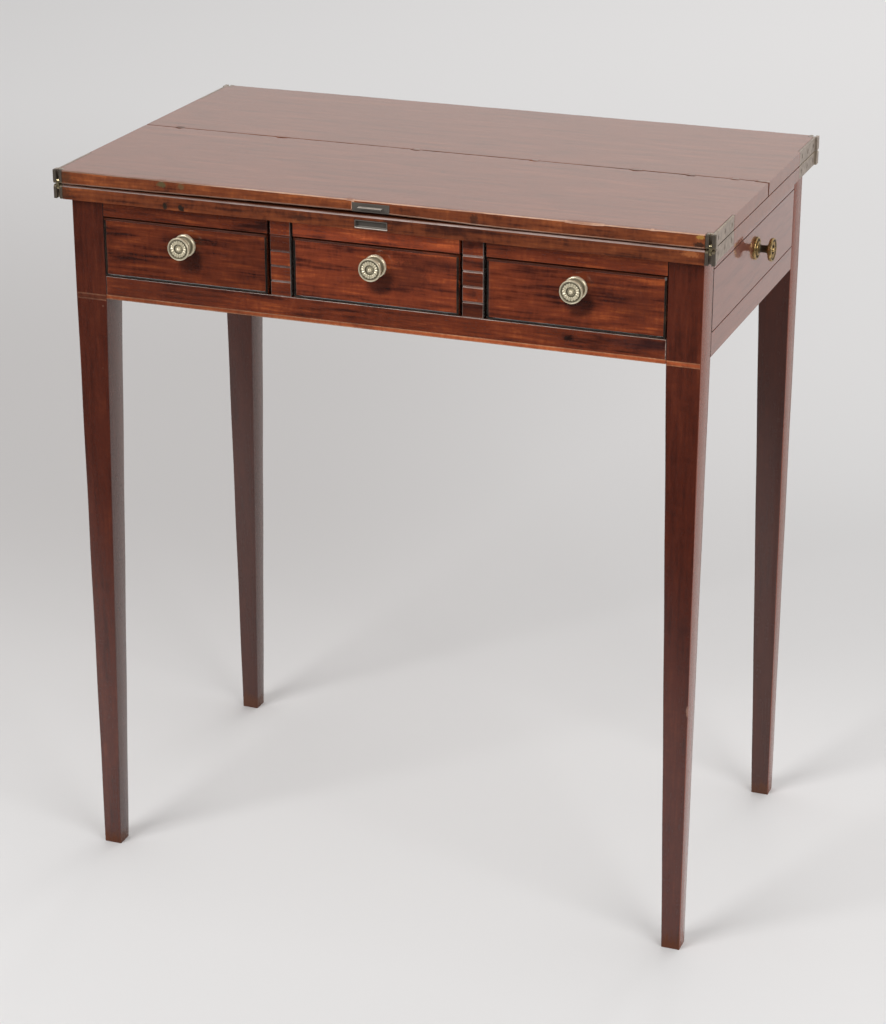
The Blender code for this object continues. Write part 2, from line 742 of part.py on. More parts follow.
def hinged_top():
    """The board, the two flaps, and all that joins them."""
    board = top_board()
    for end, side_y in (("front", -1), ("rear", 1)):
        y = -side_y * pin_y
        link_pivot = joint_empty(end + "_link_pivot", (0, y, board_pin_z))
        flap_pivot = joint_empty(end + "_flap_pivot", (0, y, flap_pin_z), link_pivot)
        leaf = flap(end + "_flap", side_y, flap_pivot)
        tongue(end + "_flap_tongue", side_y, leaf, flap_pivot)
        socket(end + "_socket", side_y, board)
        for side, side_x in (("left", -1), ("right", 1)):
            corner = f"{end}_{side}"
            for leaf_name, levels, pivot in (
                ("board", (board_under, board_top, board_pin_z), None),
                ("flap", (flap_under, flap_under, flap_pin_z), flap_pivot),
            ):
                hinge_plate(f"{leaf_name}_{corner}_hinge_plate", side_x, side_y, *levels, pivot)
            hinge_link(f"{corner}_hinge_link", side_x, side_y, link_pivot)


clear_scene()
mahogany = finish("mahogany", (0.16, 0.045, 0.022), 0.3)
oak = finish("oak", (0.33, 0.20, 0.10), 0.6)
brass = finish("brass", (0.50, 0.38, 0.18), 0.35, 1.0)

hinged_top()
legs = {}
for side, side_x in (("left", -1), ("right", 1)):
    loper_housing(side + "_loper", side_x)
    for end, side_y in (("front", -1), ("rear", 1)):
        legs[side_x, side_y] = leg(f"{end}_{side}_leg", side_x, side_y)
        loper(f"{end}_{side}_loper", side_x, side_y)
front_rails(legs)
back_rail(legs)
end_rails(legs)
outer_side = leg_inner_x - drawer_gap
drawer("left_drawer", (-leg_inner_x, -show_far), (-outer_side, -guide_far - slide_gap))
drawer("middle_drawer", (-show_near, show_near), (-guide_near + slide_gap, guide_near - slide_gap))
drawer("right_drawer", (show_far, leg_inner_x), (guide_far + slide_gap, outer_side))
bpy.context.view_layer.update()
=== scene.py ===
"""Looks of a small mahogany table whose top opens on link hinges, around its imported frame.

The sections follow the table as it is put together: legs, rails, the housings of the lopers, lopers,
drawers, knobs, top, hinges and catches. Lengths are metres. The front is -Y, the right-hand end is +X,
and the floor is z = 0.
"""

import json

import bmesh
import bpy
import numpy as np
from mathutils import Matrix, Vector

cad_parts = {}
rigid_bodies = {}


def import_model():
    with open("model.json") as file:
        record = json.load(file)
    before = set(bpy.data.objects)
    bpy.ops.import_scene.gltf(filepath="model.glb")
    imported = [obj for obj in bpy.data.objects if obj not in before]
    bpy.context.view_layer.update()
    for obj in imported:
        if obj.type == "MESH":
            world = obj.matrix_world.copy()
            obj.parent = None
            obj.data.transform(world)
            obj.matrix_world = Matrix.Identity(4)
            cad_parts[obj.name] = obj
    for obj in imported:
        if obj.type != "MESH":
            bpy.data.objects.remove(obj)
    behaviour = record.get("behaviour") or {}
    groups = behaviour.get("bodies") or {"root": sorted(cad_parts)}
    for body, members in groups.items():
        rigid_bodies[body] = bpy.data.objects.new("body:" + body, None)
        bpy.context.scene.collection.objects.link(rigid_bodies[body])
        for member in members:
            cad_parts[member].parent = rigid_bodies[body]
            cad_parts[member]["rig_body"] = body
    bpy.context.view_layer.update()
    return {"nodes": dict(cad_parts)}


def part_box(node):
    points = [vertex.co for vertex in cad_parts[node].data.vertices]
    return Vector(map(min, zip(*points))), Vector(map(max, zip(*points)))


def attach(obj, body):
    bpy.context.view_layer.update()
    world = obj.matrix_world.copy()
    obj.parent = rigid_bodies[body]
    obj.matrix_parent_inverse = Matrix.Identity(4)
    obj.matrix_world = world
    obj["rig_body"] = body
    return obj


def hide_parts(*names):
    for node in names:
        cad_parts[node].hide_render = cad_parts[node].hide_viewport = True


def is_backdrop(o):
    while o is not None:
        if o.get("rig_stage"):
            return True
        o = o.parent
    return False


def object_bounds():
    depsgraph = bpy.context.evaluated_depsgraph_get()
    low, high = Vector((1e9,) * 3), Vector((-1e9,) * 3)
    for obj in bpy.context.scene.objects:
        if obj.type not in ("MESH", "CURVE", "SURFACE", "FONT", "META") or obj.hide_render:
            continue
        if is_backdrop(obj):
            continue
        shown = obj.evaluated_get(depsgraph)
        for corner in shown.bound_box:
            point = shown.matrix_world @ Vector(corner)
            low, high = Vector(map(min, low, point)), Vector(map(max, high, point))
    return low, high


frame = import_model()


# Legs
# Four square posts of solid mahogany, tapered with a plane on their two inner faces only and polished.
# Their arrises are worn round, their inner faces are dull, and their feet are scuffed by brooms.

weld_distance = 0.00001
fine_weld = 0.000001
flat_angle = 0.01
arris_limit = 0.7
aslant_share = 0.985
leg_arris = 0.0009
leg_wear = 0.35
leg_wear_length = 0.140
leg_slices = 60
leg_arc_steps = 3
frieze_start = (0.45, 0.60)
scuff_top = (-0.012, 0.004)
leg_shades = ((0.052, 0.010, 0.005), (0.095, 0.018, 0.008), (0.150, 0.031, 0.012))
chip_colour = (0.36, 0.20, 0.14)
# Places in X and Z, half sizes in X and Z, colour and strength.
leg_chips = ((-0.2794, 0.579, 0.0009, 0.0009, chip_colour, 0.25),
             (-0.2827, 0.5166, 0.0008, 0.0008, chip_colour, 0.25),
             (0.3062, 0.2527, 0.0010, 0.0065, chip_colour, 0.6))
leg_low, leg_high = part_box("front_right_leg")
front_face = leg_low.y


def feed(node, inputs):
    """Gives inputs of a node their values, or links them to sockets and fields."""
    for key, value in dict(inputs).items():
        value = getattr(value, "socket", value)
        if isinstance(value, bpy.types.NodeSocket):
            value.id_data.links.new(value, node.inputs[key])
        else:
            node.inputs[key].default_value = value


def add_node(tree, kind, inputs=(), **settings):
    """Adds a shader node. settings are its properties."""
    made = tree.nodes.new("ShaderNode" + kind)
    for key, value in settings.items():
        setattr(made, key, value)
    feed(made, inputs)
    return made


def math_of(tree, operation, first, second=0.0):
    """One field from two values by a Math node."""
    return Field(add_node(tree, "Math", {0: first, 1: second}, operation=operation).outputs[0])


class Field:
    """A value that changes over a surface. Arithmetic with it adds Math nodes to its shader."""

    def __init__(self, socket):
        self.socket = socket
        self.tree = socket.id_data

    def __add__(self, other):
        return math_of(self.tree, "ADD", self, other)

    def __sub__(self, other):
        return math_of(self.tree, "SUBTRACT", self, other)

    def __rsub__(self, other):
        return math_of(self.tree, "SUBTRACT", other, self)

    def __mul__(self, other):
        return math_of(self.tree, "MULTIPLY", self, other)

    def __abs__(self):
        return math_of(self.tree, "ABSOLUTE", self)

    __radd__ = __add__
    __rmul__ = __mul__

    def ramp(self, low, high, start=0.0, end=1.0, kind="LINEAR"):
        """Start up to low and end from high on, with a straight or a smooth rise between them."""
        spread = {"Value": self, "From Min": low, "From Max": high, "To Min": start, "To Max": end}
        return Field(add_node(self.tree, "MapRange", spread, interpolation_type=kind).outputs["Result"])

    def step(self, low, high):
        """0 up to low and 1 from high on, with a smooth rise between them."""
        return self.ramp(low, high, kind="SMOOTHSTEP")


def parts_of(vector):
    """The X, Y and Z of a vector socket, as fields."""
    return [Field(output) for output in add_node(vector.id_data, "SeparateXYZ", {0: vector}).outputs]


def normal_parts(tree):
    """The X, Y and Z of the surface's normal."""
    return parts_of(add_node(tree, "NewGeometry").outputs["Normal"])


def vector_math(operation, first, second):
    """One vector socket from two by a Vector Math node."""
    return add_node(first.id_data, "VectorMath", {0: first, 1: second}, operation=operation).outputs[0]


def measure(operation, first, second=(0, 0, 0)):
    """A field, such as a length or a dot product, of vector sockets."""
    made = add_node(first.id_data, "VectorMath", {0: first, 1: second}, operation=operation)
    return Field(made.outputs["Value"])


def mix_colour(share, first, second, blend="MIX"):
    """Two colours mixed by a field."""
    made = add_node(share.tree, "Mix", {0: share, 6: first, 7: second}, data_type="RGBA", blend_type=blend)
    return made.outputs[2]


def noise_of(place, stretch, detail=2.0, distortion=0.0):
    """Noise whose features are one unit long divided by stretch on each axis."""
    scaled = vector_math("MULTIPLY", place, stretch)
    noise = add_node(place.id_data, "TexNoise", {"Vector": scaled, "Scale": 1.0, "Detail": detail,
                                                 "Distortion": distortion})
    return Field(noise.outputs["Fac"])


def bump_of(height, distance, strength):
    """The normals of a surface raised by a field."""
    made = add_node(height.tree, "Bump", {"Height": height, "Distance": distance, "Strength": strength})
    return made.outputs["Normal"]


def group_with(name, inputs, outputs):
    """An empty shader group with its named sockets, and the nodes that stand for them inside."""
    tree = bpy.data.node_groups.new(name, "ShaderNodeTree")
    for side, sockets in (("INPUT", inputs), ("OUTPUT", outputs)):
        for socket, kind in sockets.items():
            tree.interface.new_socket(name=socket, in_out=side, socket_type="NodeSocket" + kind)
    return tree, tree.nodes.new("NodeGroupInput").outputs, tree.nodes.new("NodeGroupOutput")


def figure_group():
    """Mahogany figure, with the grain along X of the vector that comes in.

    Long bands, fine streaks, short cross ripples and wide clouds, all stretched noise, are added to one
    value, which picks between three colours. Pores are thin dark dashes where a very fine noise is high.
    """
    tree, source, result = group_with(
        "mahogany_figure",
        {"Place": "Vector", "Dark": "Color", "Middle": "Color", "Light": "Color", "Mottle": "Float"},
        {"Color": "Color", "Value": "Float", "Height": "Float"})
    place = source["Place"]
    bands = noise_of(place, (8, 115, 115), 4.0, 0.35)
    streaks = noise_of(place, (26, 340, 340), 4.0)
    ripple = noise_of(place, (170, 80, 80), 2.0, 0.8)
    clouds = noise_of(place, (10, 32, 32), 2.0, 1.3)
    pores = noise_of(place, (260, 4200, 4200), 1.0).step(0.60, 0.70)
    value = 0.30 * bands + 0.36 * streaks + 0.24 * clouds + (ripple - 0.5) * source["Mottle"] + 0.05
    colour = mix_colour(value.step(0.36, 0.52), source["Dark"], source["Middle"])
    colour = mix_colour(value.step(0.50, 0.68), colour, source["Light"])
    colour = mix_colour(0.4 * pores, colour, source["Dark"])
    feed(result, {"Color": colour, "Value": value, "Height": 0.5 * streaks - pores})
    return tree


def spot_group():
    """1 inside an ellipsoid with a ragged rim, and 0 outside it."""
    tree, source, result = group_with(
        "spot", {"Place": "Vector", "Centre": "Vector", "Half": "Vector", "Ragged": "Float"},
        {"Mask": "Float"})
    share = vector_math("DIVIDE", vector_math("SUBTRACT", source["Place"], source["Centre"]), source["Half"])
    ragged = (noise_of(source["Place"], (600, 600, 600)) - 0.5) * source["Ragged"]
    feed(result, {"Mask": 1 - (measure("LENGTH", share) + ragged).step(0.6, 1.15)})
    return tree


figure = figure_group()
spot = spot_group()
grain_turns = {"X": (0, 0, 0), "Y": (0, 0, np.pi / 2), "Z": (0, np.pi / 2, 0)}


def new_material(name):
    """A material, its tree and its shader."""
    material = bpy.data.materials.new(name)
    material.use_nodes = True
    return material, material.node_tree, material.node_tree.nodes["Principled BSDF"]


class Wood:
    """The nodes of a wood material, to which a section adds before it closes them with shade()."""

    def __init__(self, name, along, dark, middle, light, mottle=0.3, offset=(0, 0, 0)):
        self.material, self.tree, self.shader = new_material(name)
        self.place = add_node(self.tree, "TexCoord").outputs["Object"]
        self.x, self.y, self.z = parts_of(self.place)
        turned = add_node(self.tree, "Mapping", {"Vector": self.place, "Location": offset,
                                                 "Rotation": grain_turns[along]}).outputs[0]
        self.figure = add_node(self.tree, "Group", {
            "Place": turned, "Dark": (*dark, 1), "Middle": (*middle, 1), "Light": (*light, 1),
            "Mottle": mottle}, node_tree=figure).outputs
        self.colour = self.figure["Color"]

    def tint(self, share, colour, blend="MIX"):
        """Lays a colour over the wood where share is high."""
        self.colour = mix_colour(share, self.colour, (*colour, 1), blend)

    def mark(self, centre, half, colour, strength=1.0, ragged=1.6):
        """A stain, plug or scuff: an ellipsoid round centre, more or less ragged, takes another colour."""
        stain = add_node(self.tree, "Group", {"Place": self.place, "Centre": centre, "Half": half,
                                              "Ragged": ragged}, node_tree=spot)
        self.tint(strength * Field(stain.outputs["Mask"]), colour)

    def mark_face(self, y, marks, half_y=0.01):
        """Marks on an upright face at y: x, z, half sizes in X and Z, and what else mark() takes."""
        for x, z, half_x, half_z, *rest in marks:
            self.mark((x, y, z), (half_x, half_y, half_z), *rest)

    def shade(self, roughness, coat, coat_roughness, bump=0.00012, glare=0.2, swing=0.06):
        """Sets the finish: the roughness swings with the figure, and the pores are sunk.

        glare is how much the wood mirrors under its polish.
        """
        feed(self.shader, {
            "Base Color": self.colour,
            "Roughness": Field(self.figure["Value"]).ramp(0, 1, roughness + swing, roughness - swing),
            "Specular IOR Level": glare,
            "Normal": bump_of(Field(self.figure["Height"]), bump, 0.5),
            "Coat Weight": coat,
            "Coat Roughness": coat_roughness,
        })
        return self.material


def points_of(mesh):
    """The points of a mesh, one to a row."""
    points = np.empty(3 * len(mesh.vertices), np.float32)
    mesh.vertices.foreach_get("co", points)
    return points.reshape(-1, 3)


def bmesh_of(mesh):
    """A bmesh in the place of a mesh."""
    bm = bmesh.new()
    bm.from_mesh(mesh)
    bpy.data.meshes.remove(mesh)
    return bm


def welded(points, faces, distance, slots=None):
    """A bmesh of points and faces, with its doubled points merged. slots gives each face its material."""
    loose = bpy.data.meshes.new("loose")
    loose.from_pydata(points, [], faces)
    if slots is not None:
        loose.polygons.foreach_set("material_index", slots.astype(np.int32))
    bm = bmesh_of(loose)
    bmesh.ops.remove_doubles(bm, verts=bm.verts, dist=distance)
    return bm


def clean_mesh(node):
    """A bmesh of a CAD node, its doubled corners merged and its flat faces made whole again."""
    source = frame["nodes"][node].data
    corners = np.empty(len(source.loops), np.int32)
    source.loops.foreach_get("vertex_index", corners)
    bm = welded(points_of(source), corners.reshape(-1, 3), weld_distance)
    bmesh.ops.dissolve_limit(bm, angle_limit=flat_angle, verts=bm.verts, edges=bm.edges)
    return bm


def mesh_of(bm, name, materials=()):
    """The mesh of a bmesh, with its materials."""
    mesh = bpy.data.meshes.new(name)
    bm.to_mesh(mesh)
    bm.free()
    for material in materials:
        mesh.materials.append(material)
    return mesh


def smooth_mesh(bm, name, materials):
    """The mesh of a bmesh, its faces pointing outwards, smooth but for its sharp arrises."""
    bmesh.ops.recalc_face_normals(bm, faces=bm.faces)
    mesh = mesh_of(bm, name, materials)
    mesh.shade_smooth()
    mesh.set_sharp_from_angle(angle=arris_limit)
    return mesh


def put_in_scene(name, data):
    """An object of a mesh, a lamp or a camera."""
    made = bpy.data.objects.new(name, data)
    bpy.context.scene.collection.objects.link(made)
    return made


def hang(mesh, body, slot, *replaced):
    """Puts a mesh in the scene as a piece of its name, on the body that carries it."""
    piece = put_in_scene(mesh.name, mesh)
    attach(piece, body)
    if replaced:
        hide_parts(*replaced)
    return piece


def finished(node, materials, slot, arris, bm=None):
    """Puts a bmesh, or the cleaned node, in the place of a CAD node, with its sharp arrises rounded.

    Arrises, and faces that lie aslant, take the second material. The hinged edge of a leaf takes the third.
    """
    if bm is None:
        bm = clean_mesh(node)
    for face in bm.faces:
        normal = [abs(part) for part in face.normal]
        face.smooth = bool(arris)
        face.material_index = 0
        if len(materials) > 1 and max(normal) < aslant_share:
            face.material_index = 1
        elif len(materials) > 2 and normal[1] > aslant_share:
            face.material_index = 2
    mesh = mesh_of(bm, node + "_finished", materials)
    piece = hang(mesh, frame["nodes"][node]["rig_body"], slot, node)
    if arris:
        bevel = piece.modifiers.new("arris", "BEVEL")
        bevel.width = arris
        bevel.segments = 2
        bevel.limit_method = "ANGLE"
        bevel.angle_limit = arris_limit
        bevel.material = min(1, len(materials) - 1)
        piece.modifiers.new("flats", "WEIGHTED_NORMAL").keep_sharp = True


def leg_material():
    """Upright grain. Inner faces, which point to the middle of the table, have lost most of their polish.

    The right-hand faces and the rear legs have lost some too; the left-hand legs have a painted shade.
    """
    wood = Wood("leg_mahogany", "Z", *leg_shades, 0.16)
    normal = add_node(wood.tree, "NewGeometry").outputs["True Normal"]
    normal_x, normal_y, _ = parts_of(normal)
    outward = vector_math("MULTIPLY", wood.place, (1, 1, 0))
    inside = 1 - measure("DOT_PRODUCT", outward, normal).step(-0.05, 0.05)
    right = wood.x.step(-0.1, 0.1)
    rear = wood.y.step(-0.1, 0.1)
    high_up = wood.z.step(*frieze_start)
    faded = right * normal_x.step(0.3, 0.7)
    polished = (wood.z - 0.03 * noise_of(wood.place, (240, 240, 90))).step(*scuff_top)
    # Painted shade: the left-hand legs are darker.
    wood.tint(0.25 * (1 - right), (0.035, 0.008, 0.005))
    wood.tint(0.35 * right * (1 - high_up), (0.040, 0.005, 0.002))
    wood.tint(0.8 * faded, (0.24, 0.062, 0.032))
    wood.tint(0.6 * inside, (0.070, 0.040, 0.035))
    wood.tint(0.4 * (1 - polished), (0.16, 0.07, 0.035))
    wood.mark_face(front_face, leg_chips, 0.003)
    lost = 0.1 * inside + faded * (0.15 + 0.28 * high_up) + rear * (0.2 + 0.16 * normal_y.step(-0.5, -0.9))
    return wood.shade(0.27, (0.9 - lost) * polished, 0.14)


def tube_mesh(name, rings, material, closed=False):
    """A mesh of rings of points, of the shape (rings, points, 3), joined by quads.

    Its ends are capped by one face each, or joined to each other where it is closed.
    """
    count, around, _ = rings.shape
    first = np.arange(count if closed else count - 1)
    here, there = first * around, (first + 1) % count * around
    k = np.arange(around)
    n = (k + 1) % around
    corners = (here[:, None] + k, here[:, None] + n, there[:, None] + n, there[:, None] + k)
    faces = np.stack(corners, axis=-1).reshape(-1, 4).tolist()
    if not closed:
        faces += [list(range(around)), list(range((count - 1) * around, count * around))]
    return smooth_mesh(welded(rings.reshape(-1, 3), faces, fine_weld), name, [material])


def leg_rings(points, side_x, side_y):
    """A square section with rounded arrises, carried up the leg from foot to top.

    The outer faces are upright. The inner ones lean in a straight line from the foot to the frieze.
    """
    level = points[:, 2]
    outer = np.abs(points[:, :2]).max(axis=0)
    foot = np.abs(points[level < weld_distance, :2]).min(axis=0)
    head = np.abs(points[:, :2]).min(axis=0)
    bend = np.sort(np.unique(level.round(5)))[1]
    z = np.concatenate([np.linspace(0, bend, leg_slices), [level.max()]])
    share = np.clip(z / bend, 0, 1)[:, None]
    inner = foot * (1 - share) + head * share
    wave = np.sin(2 * np.pi * z / leg_wear_length + side_x + 2 * side_y)
    arris = leg_arris * (1 + leg_wear * wave)[:, None]
    angle = np.linspace(0, np.pi / 2, leg_arc_steps + 1)
    x_parts, y_parts = [], []
    for turn, (end_x, end_y) in enumerate(((1, 1), (0, 1), (0, 0), (1, 0))):
        corner_x = (outer[0] - arris) if end_x else (inner[:, :1] + arris)
        corner_y = (outer[1] - arris) if end_y else (inner[:, 1:] + arris)
        x_parts.append(corner_x + arris * np.cos(angle + turn * np.pi / 2))
        y_parts.append(corner_y + arris * np.sin(angle + turn * np.pi / 2))
    x, y = np.hstack(x_parts), np.hstack(y_parts)
    return np.stack([side_x * x, side_y * y, z[:, None] + 0 * x], axis=-1)


leg_wood = leg_material()
for side_y, end in ((-1, "front"), (1, "rear")):
    for side_x, side in ((-1, "left"), (1, "right")):
        node = f"{end}_{side}_leg"
        rings = leg_rings(points_of(frame["nodes"][node].data).astype(float), side_x, side_y)
        hang(tube_mesh(node + "_planed", rings, leg_wood), "table", "frame_wood", node)


# Stringing
# Three thin lines of pale and orange wood let into the front legs under the frieze, and on along the lower
# edge of the rail between them. They are glued into a scratched groove and scraped flush.

line_proud = 0.00007
line_sunk = 0.0004
line_inset = 0.0007
line_steps = 4
line_slices = 5
left_band_levels = (0.5844, 0.5904)
right_band_levels = (0.5855, 0.5903)
rail_band_levels = (0.5866, 0.5908)
band_line_shares = (0.0, 0.2, 0.78, 1.0)
browner_left = (-0.18, 0.12)


def half_round(width, proud, sunk, steps):
    """Half an ellipse over a flat-bottomed root: points of (across, out), from one side to the other."""
    angle = np.linspace(0, np.pi, steps + 1)
    across = np.concatenate([[-width / 2], -width / 2 * np.cos(angle), [width / 2]])
    out = np.concatenate([[-sunk], proud * np.sin(angle), [-sunk]])
    return across, out


def strip_rings(x_span, face, z_span, proud, sunk):
    """A half-round profile of little rise, carried along X on a face that looks towards -Y."""
    across, out = half_round(z_span[1] - z_span[0], proud, sunk, line_steps)
    x, out = np.meshgrid(np.linspace(*x_span, line_slices), out, indexing="ij")
    return np.stack([x, face - out, sum(z_span) / 2 + across + 0 * x], axis=-1)


def string_wood(name, *shades):
    """Thin wood of one tone, scraped and polished with the rest. Towards the left-hand leg it is browner."""
    wood = Wood(name, "X", *shades)
    wood.tint(0.65 * (1 - wood.x.step(*browner_left)), (0.45, 0.50, 0.55), "MULTIPLY")
    return wood.shade(0.3, 0.6, 0.15)


dull_line = string_wood("dull_stringing", (0.14, 0.045, 0.023), (0.24, 0.086, 0.044), (0.36, 0.145, 0.075))
pale_line = string_wood("pale_stringing", (0.24, 0.085, 0.040), (0.40, 0.155, 0.070), (0.56, 0.27, 0.14))
dark_core = string_wood("dark_core", (0.078, 0.018, 0.010), (0.155, 0.036, 0.016), (0.25, 0.067, 0.029))
orange_core = string_wood("orange_core", (0.22, 0.046, 0.016), (0.38, 0.085, 0.026), (0.52, 0.14, 0.042))

leg_span = (leg_low.x + line_inset, leg_high.x - line_inset)
for place, x_span, z_span, line, core in (
    ("left_leg", (-leg_span[1], -leg_span[0]), left_band_levels, dull_line, dark_core),
    ("right_leg", leg_span, right_band_levels, pale_line, orange_core),
    ("rail", (-leg_low.x, leg_low.x), rail_band_levels, pale_line, orange_core),
):
    levels = z_span[0] + (z_span[1] - z_span[0]) * np.array(band_line_shares)
    for number, material in enumerate((line, core, line)):
        rings = strip_rings(x_span, front_face, levels[number:number + 2], line_proud, line_sunk)
        hang(tube_mesh(f"stringing_{place}_{number + 1}", rings, material), "table", "inner_wood")


# Rails
# Boards of the same wood between the legs: one under the drawers, three short ones over them, the back
# and the two ends. They are tenoned into the legs and polished outside, and only sawn clean inside.

rail_arris = 0.0006
joint_arris = 0.0004
frieze_shades = np.array(((0.040, 0.008, 0.0045), (0.155, 0.029, 0.010), (0.37, 0.083, 0.020)))
# Rubbed arrises: pale worn wood with a painted highlight.
rubbed_highlight_shades = np.array(((0.12, 0.075, 0.060), (0.32, 0.23, 0.19), (0.60, 0.50, 0.45)))
end_shades = np.array(((0.165, 0.048, 0.030), (0.22, 0.066, 0.041), (0.285, 0.090, 0.056)))
# Each short rail is cut from another board: its lift, and where its figure is taken from.
top_rail_boards = {"left": (0.85, (0.2, 0.4, 0.05)), "middle": (2.0, (0.8, 0.2, 0.4)),
                   "right": (1.15, (0.5, 0.9, 0.7))}


def frieze_wood(name, along, offset=(0, 0, 0), lift=1.0, mottle=0.2, shades=frieze_shades):
    """Polished mahogany of the frieze, warm where the light comes through the polish."""
    return Wood(name, along, *(shades * lift), mottle, offset)


rail_wood = frieze_wood("rail_mahogany", "X", (0.05, 0.6, 0.3), 0.95, 0.12)
rail_wood.mark_face(front_face, ((0.1844, 0.6004, 0.0042, 0.0030, (0.012, 0.004, 0.003), 0.9),
                                 (0.250, 0.602, 0.030, 0.006, (0.035, 0.012, 0.012), 0.5, 0.5),
                                 (-0.215, 0.600, 0.075, 0.016, (0.060, 0.014, 0.008), 0.35, 0.8)))
rail_wood = rail_wood.shade(0.27, 0.9, 0.13)
# The rail's arrises: rubbed wood with a painted highlight, dimmer towards the left.
rail_rubbed_highlight = frieze_wood("rail_mahogany_rubbed_highlight", "X", shades=rubbed_highlight_shades)
rail_rubbed_highlight.tint(0.8 * (1 - rail_rubbed_highlight.x.step(-0.20, -0.05)), (0.35, 0.28, 0.26), "MULTIPLY")
rail_rubbed_highlight = rail_rubbed_highlight.shade(0.3, 0.8, 0.14)
finished("front_bottom_rail", [rail_wood, rail_rubbed_highlight], "frame_wood", rail_arris)
finished("back_rail", [rail_wood], "frame_wood", rail_arris)

joint_dirt = Wood("joint_dirt", "X", (0.010, 0.007, 0.005), (0.02, 0.012, 0.008), (0.04, 0.02, 0.012), 0.4)
joint_dirt = joint_dirt.shade(0.5, 0.2, 0.3)
for place, (lift, offset) in top_rail_boards.items():
    top_rail_wood = frieze_wood(f"top_rail_mahogany_{place}", "X", offset, lift, 0.12).shade(0.27, 0.9, 0.13)
    finished("front_top_rail_" + place, [top_rail_wood, joint_dirt], "frame_wood", joint_arris)

end_wood = frieze_wood("end_mahogany", "Y", (0.4, 0.1, 0.2), 1.0, 0.05, end_shades)
in_joint = abs(normal_parts(end_wood.tree)[1]).step(0.15, 0.5)
end_wood.tint(0.95 * in_joint, (0.012, 0.007, 0.005))
end_wood = end_wood.shade(0.3, 1 - in_joint, 0.05, bump=0.00004, swing=0.02)
for node in ("left_end_rail", "right_end_rail"):
    finished(node, [end_wood], "frame_wood", joint_arris)


# Sham drawer front
# A mahogany board planted on the right-hand end rail, level with the drawers. A saw cut near its top parts
# a strip like the rails over the drawers from the front itself.

saw_cut_width = 0.0011
saw_cut_depth = 0.0022
drawer_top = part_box("front_top_rail_left")[0].z


def sham_rings(low, high):
    """The section of the board, with a slot in its outer face, carried from one leg to the other."""
    floor_of_cut = high.x - saw_cut_depth
    slot = ((high.x, drawer_top), (floor_of_cut, drawer_top), (floor_of_cut, drawer_top + saw_cut_width),
            (high.x, drawer_top + saw_cut_width))
    x, z = np.array([(low.x, low.z), (high.x, low.z), *slot, (high.x, high.z), (low.x, high.z)]).T
    y, x = np.meshgrid(np.linspace(low.y, high.y, 2), x, indexing="ij")
    return np.stack([x, y, z + 0 * x], axis=-1)


sham = "right_end_sham_front"
hang(tube_mesh(sham + "_slotted", sham_rings(*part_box(sham)), end_wood), "table", "frame_wood", sham)


# Housings of the lopers
# Two upright boards on each side stand on a bearer between the front and the back rail. They are of plain
# oak, left as it came from the plane, and go grey-brown with age. The guides are black with old stain.

oak_arris = 0.0004
oak_shades = ((0.16, 0.10, 0.055), (0.30, 0.195, 0.105), (0.40, 0.27, 0.15))
stained_shades = ((0.010, 0.010, 0.007), (0.030, 0.026, 0.018), (0.06, 0.05, 0.035))


def bare_oak(name, along):
    """Unpolished oak: pale brown, dull and open-grained."""
    return Wood(name, along, *oak_shades, 0.1, (0.7, 0.2, 0.5)).shade(0.7, 0.0, 0.3, 0.0003)


oak_along_y = bare_oak("oak_along_y", "Y")
oak_along_x = bare_oak("oak_along_x", "X")
stained_oak = Wood("stained_oak", "Y", *stained_shades, 0.2).shade(0.5, 0.3, 0.3)
for side in ("left", "right"):
    for name, wood in (("inner_guide", stained_oak), ("outer_guide", stained_oak), ("bearer", oak_along_y)):
        finished(f"{side}_loper_{name}", [wood], "inner_wood", oak_arris)


# Lopers
# Four mahogany slides that carry an open flap. Fine grooves part each front end into blocks, whose faces
# are of unlike tone, and handling has rubbed the lips of the grooves, which carry a painted highlight. One
# groove is filled with wax.

loper_arris = 0.0004
filler_proud = 0.00005
filler_sunk = 0.0008
loper_groove_width = 0.0012
loper_low, loper_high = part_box("front_left_loper")
# How dark each block is, from the lowest to the highest, the last one above the drawers, and how dark
# the painted highlight on its rubbed upper lip is. The highlights on the left-hand lips are dimmer.
block_tones = {"left": (0.45, 0.30, 0.10, 0.80, 0.05), "right": (0.92, 0.0, 0.65, 0.25, 0.10)}
lip_highlight_tones = {"left": (0.15, 0.60, 0.80, 0.95, 0.05), "right": (0.30, 0.0, 0.22, 0.08, 0.03)}
lip_highlight_lifts = {"left": 0.5, "right": 1.0}


def loper_material(name, shades, tones, dulled):
    """Wood whose tone changes from block to block up the face, by steps of a ramp over the height.

    Upright arrises carry a grey painted highlight, and the lips of the grooves don't. dulled is how much
    polish a dark tone loses.
    """
    wood = frieze_wood(name, "X", (0.9, 0.3, 0.1), 1.25, 0.15, shades)
    ramp = add_node(wood.tree, "ValToRGB", {"Fac": wood.z.ramp(loper_low.z, loper_high.z)})
    steps = ramp.color_ramp
    steps.interpolation = "CONSTANT"
    pitch = (drawer_top - loper_low.z) / (len(tones) - 1) / (loper_high.z - loper_low.z)
    steps.elements[1].position = pitch
    for number in range(2, len(tones)):
        steps.elements.new(number * pitch)
    for element, tone in zip(steps.elements, tones):
        element.color = (tone, tone, tone, 1)
    dark = Field(ramp.outputs["Color"])
    wood.tint(0.8 * dark, (0.03, 0.007, 0.004))
    # Painted highlight: a grey tone on the upright arrises.
    wood.tint(0.9 * abs(normal_parts(wood.tree)[0]).step(0.2, 0.5), (0.11, 0.11, 0.10))
    return wood.shade(0.27, 0.8 - dulled * dark, 0.14)


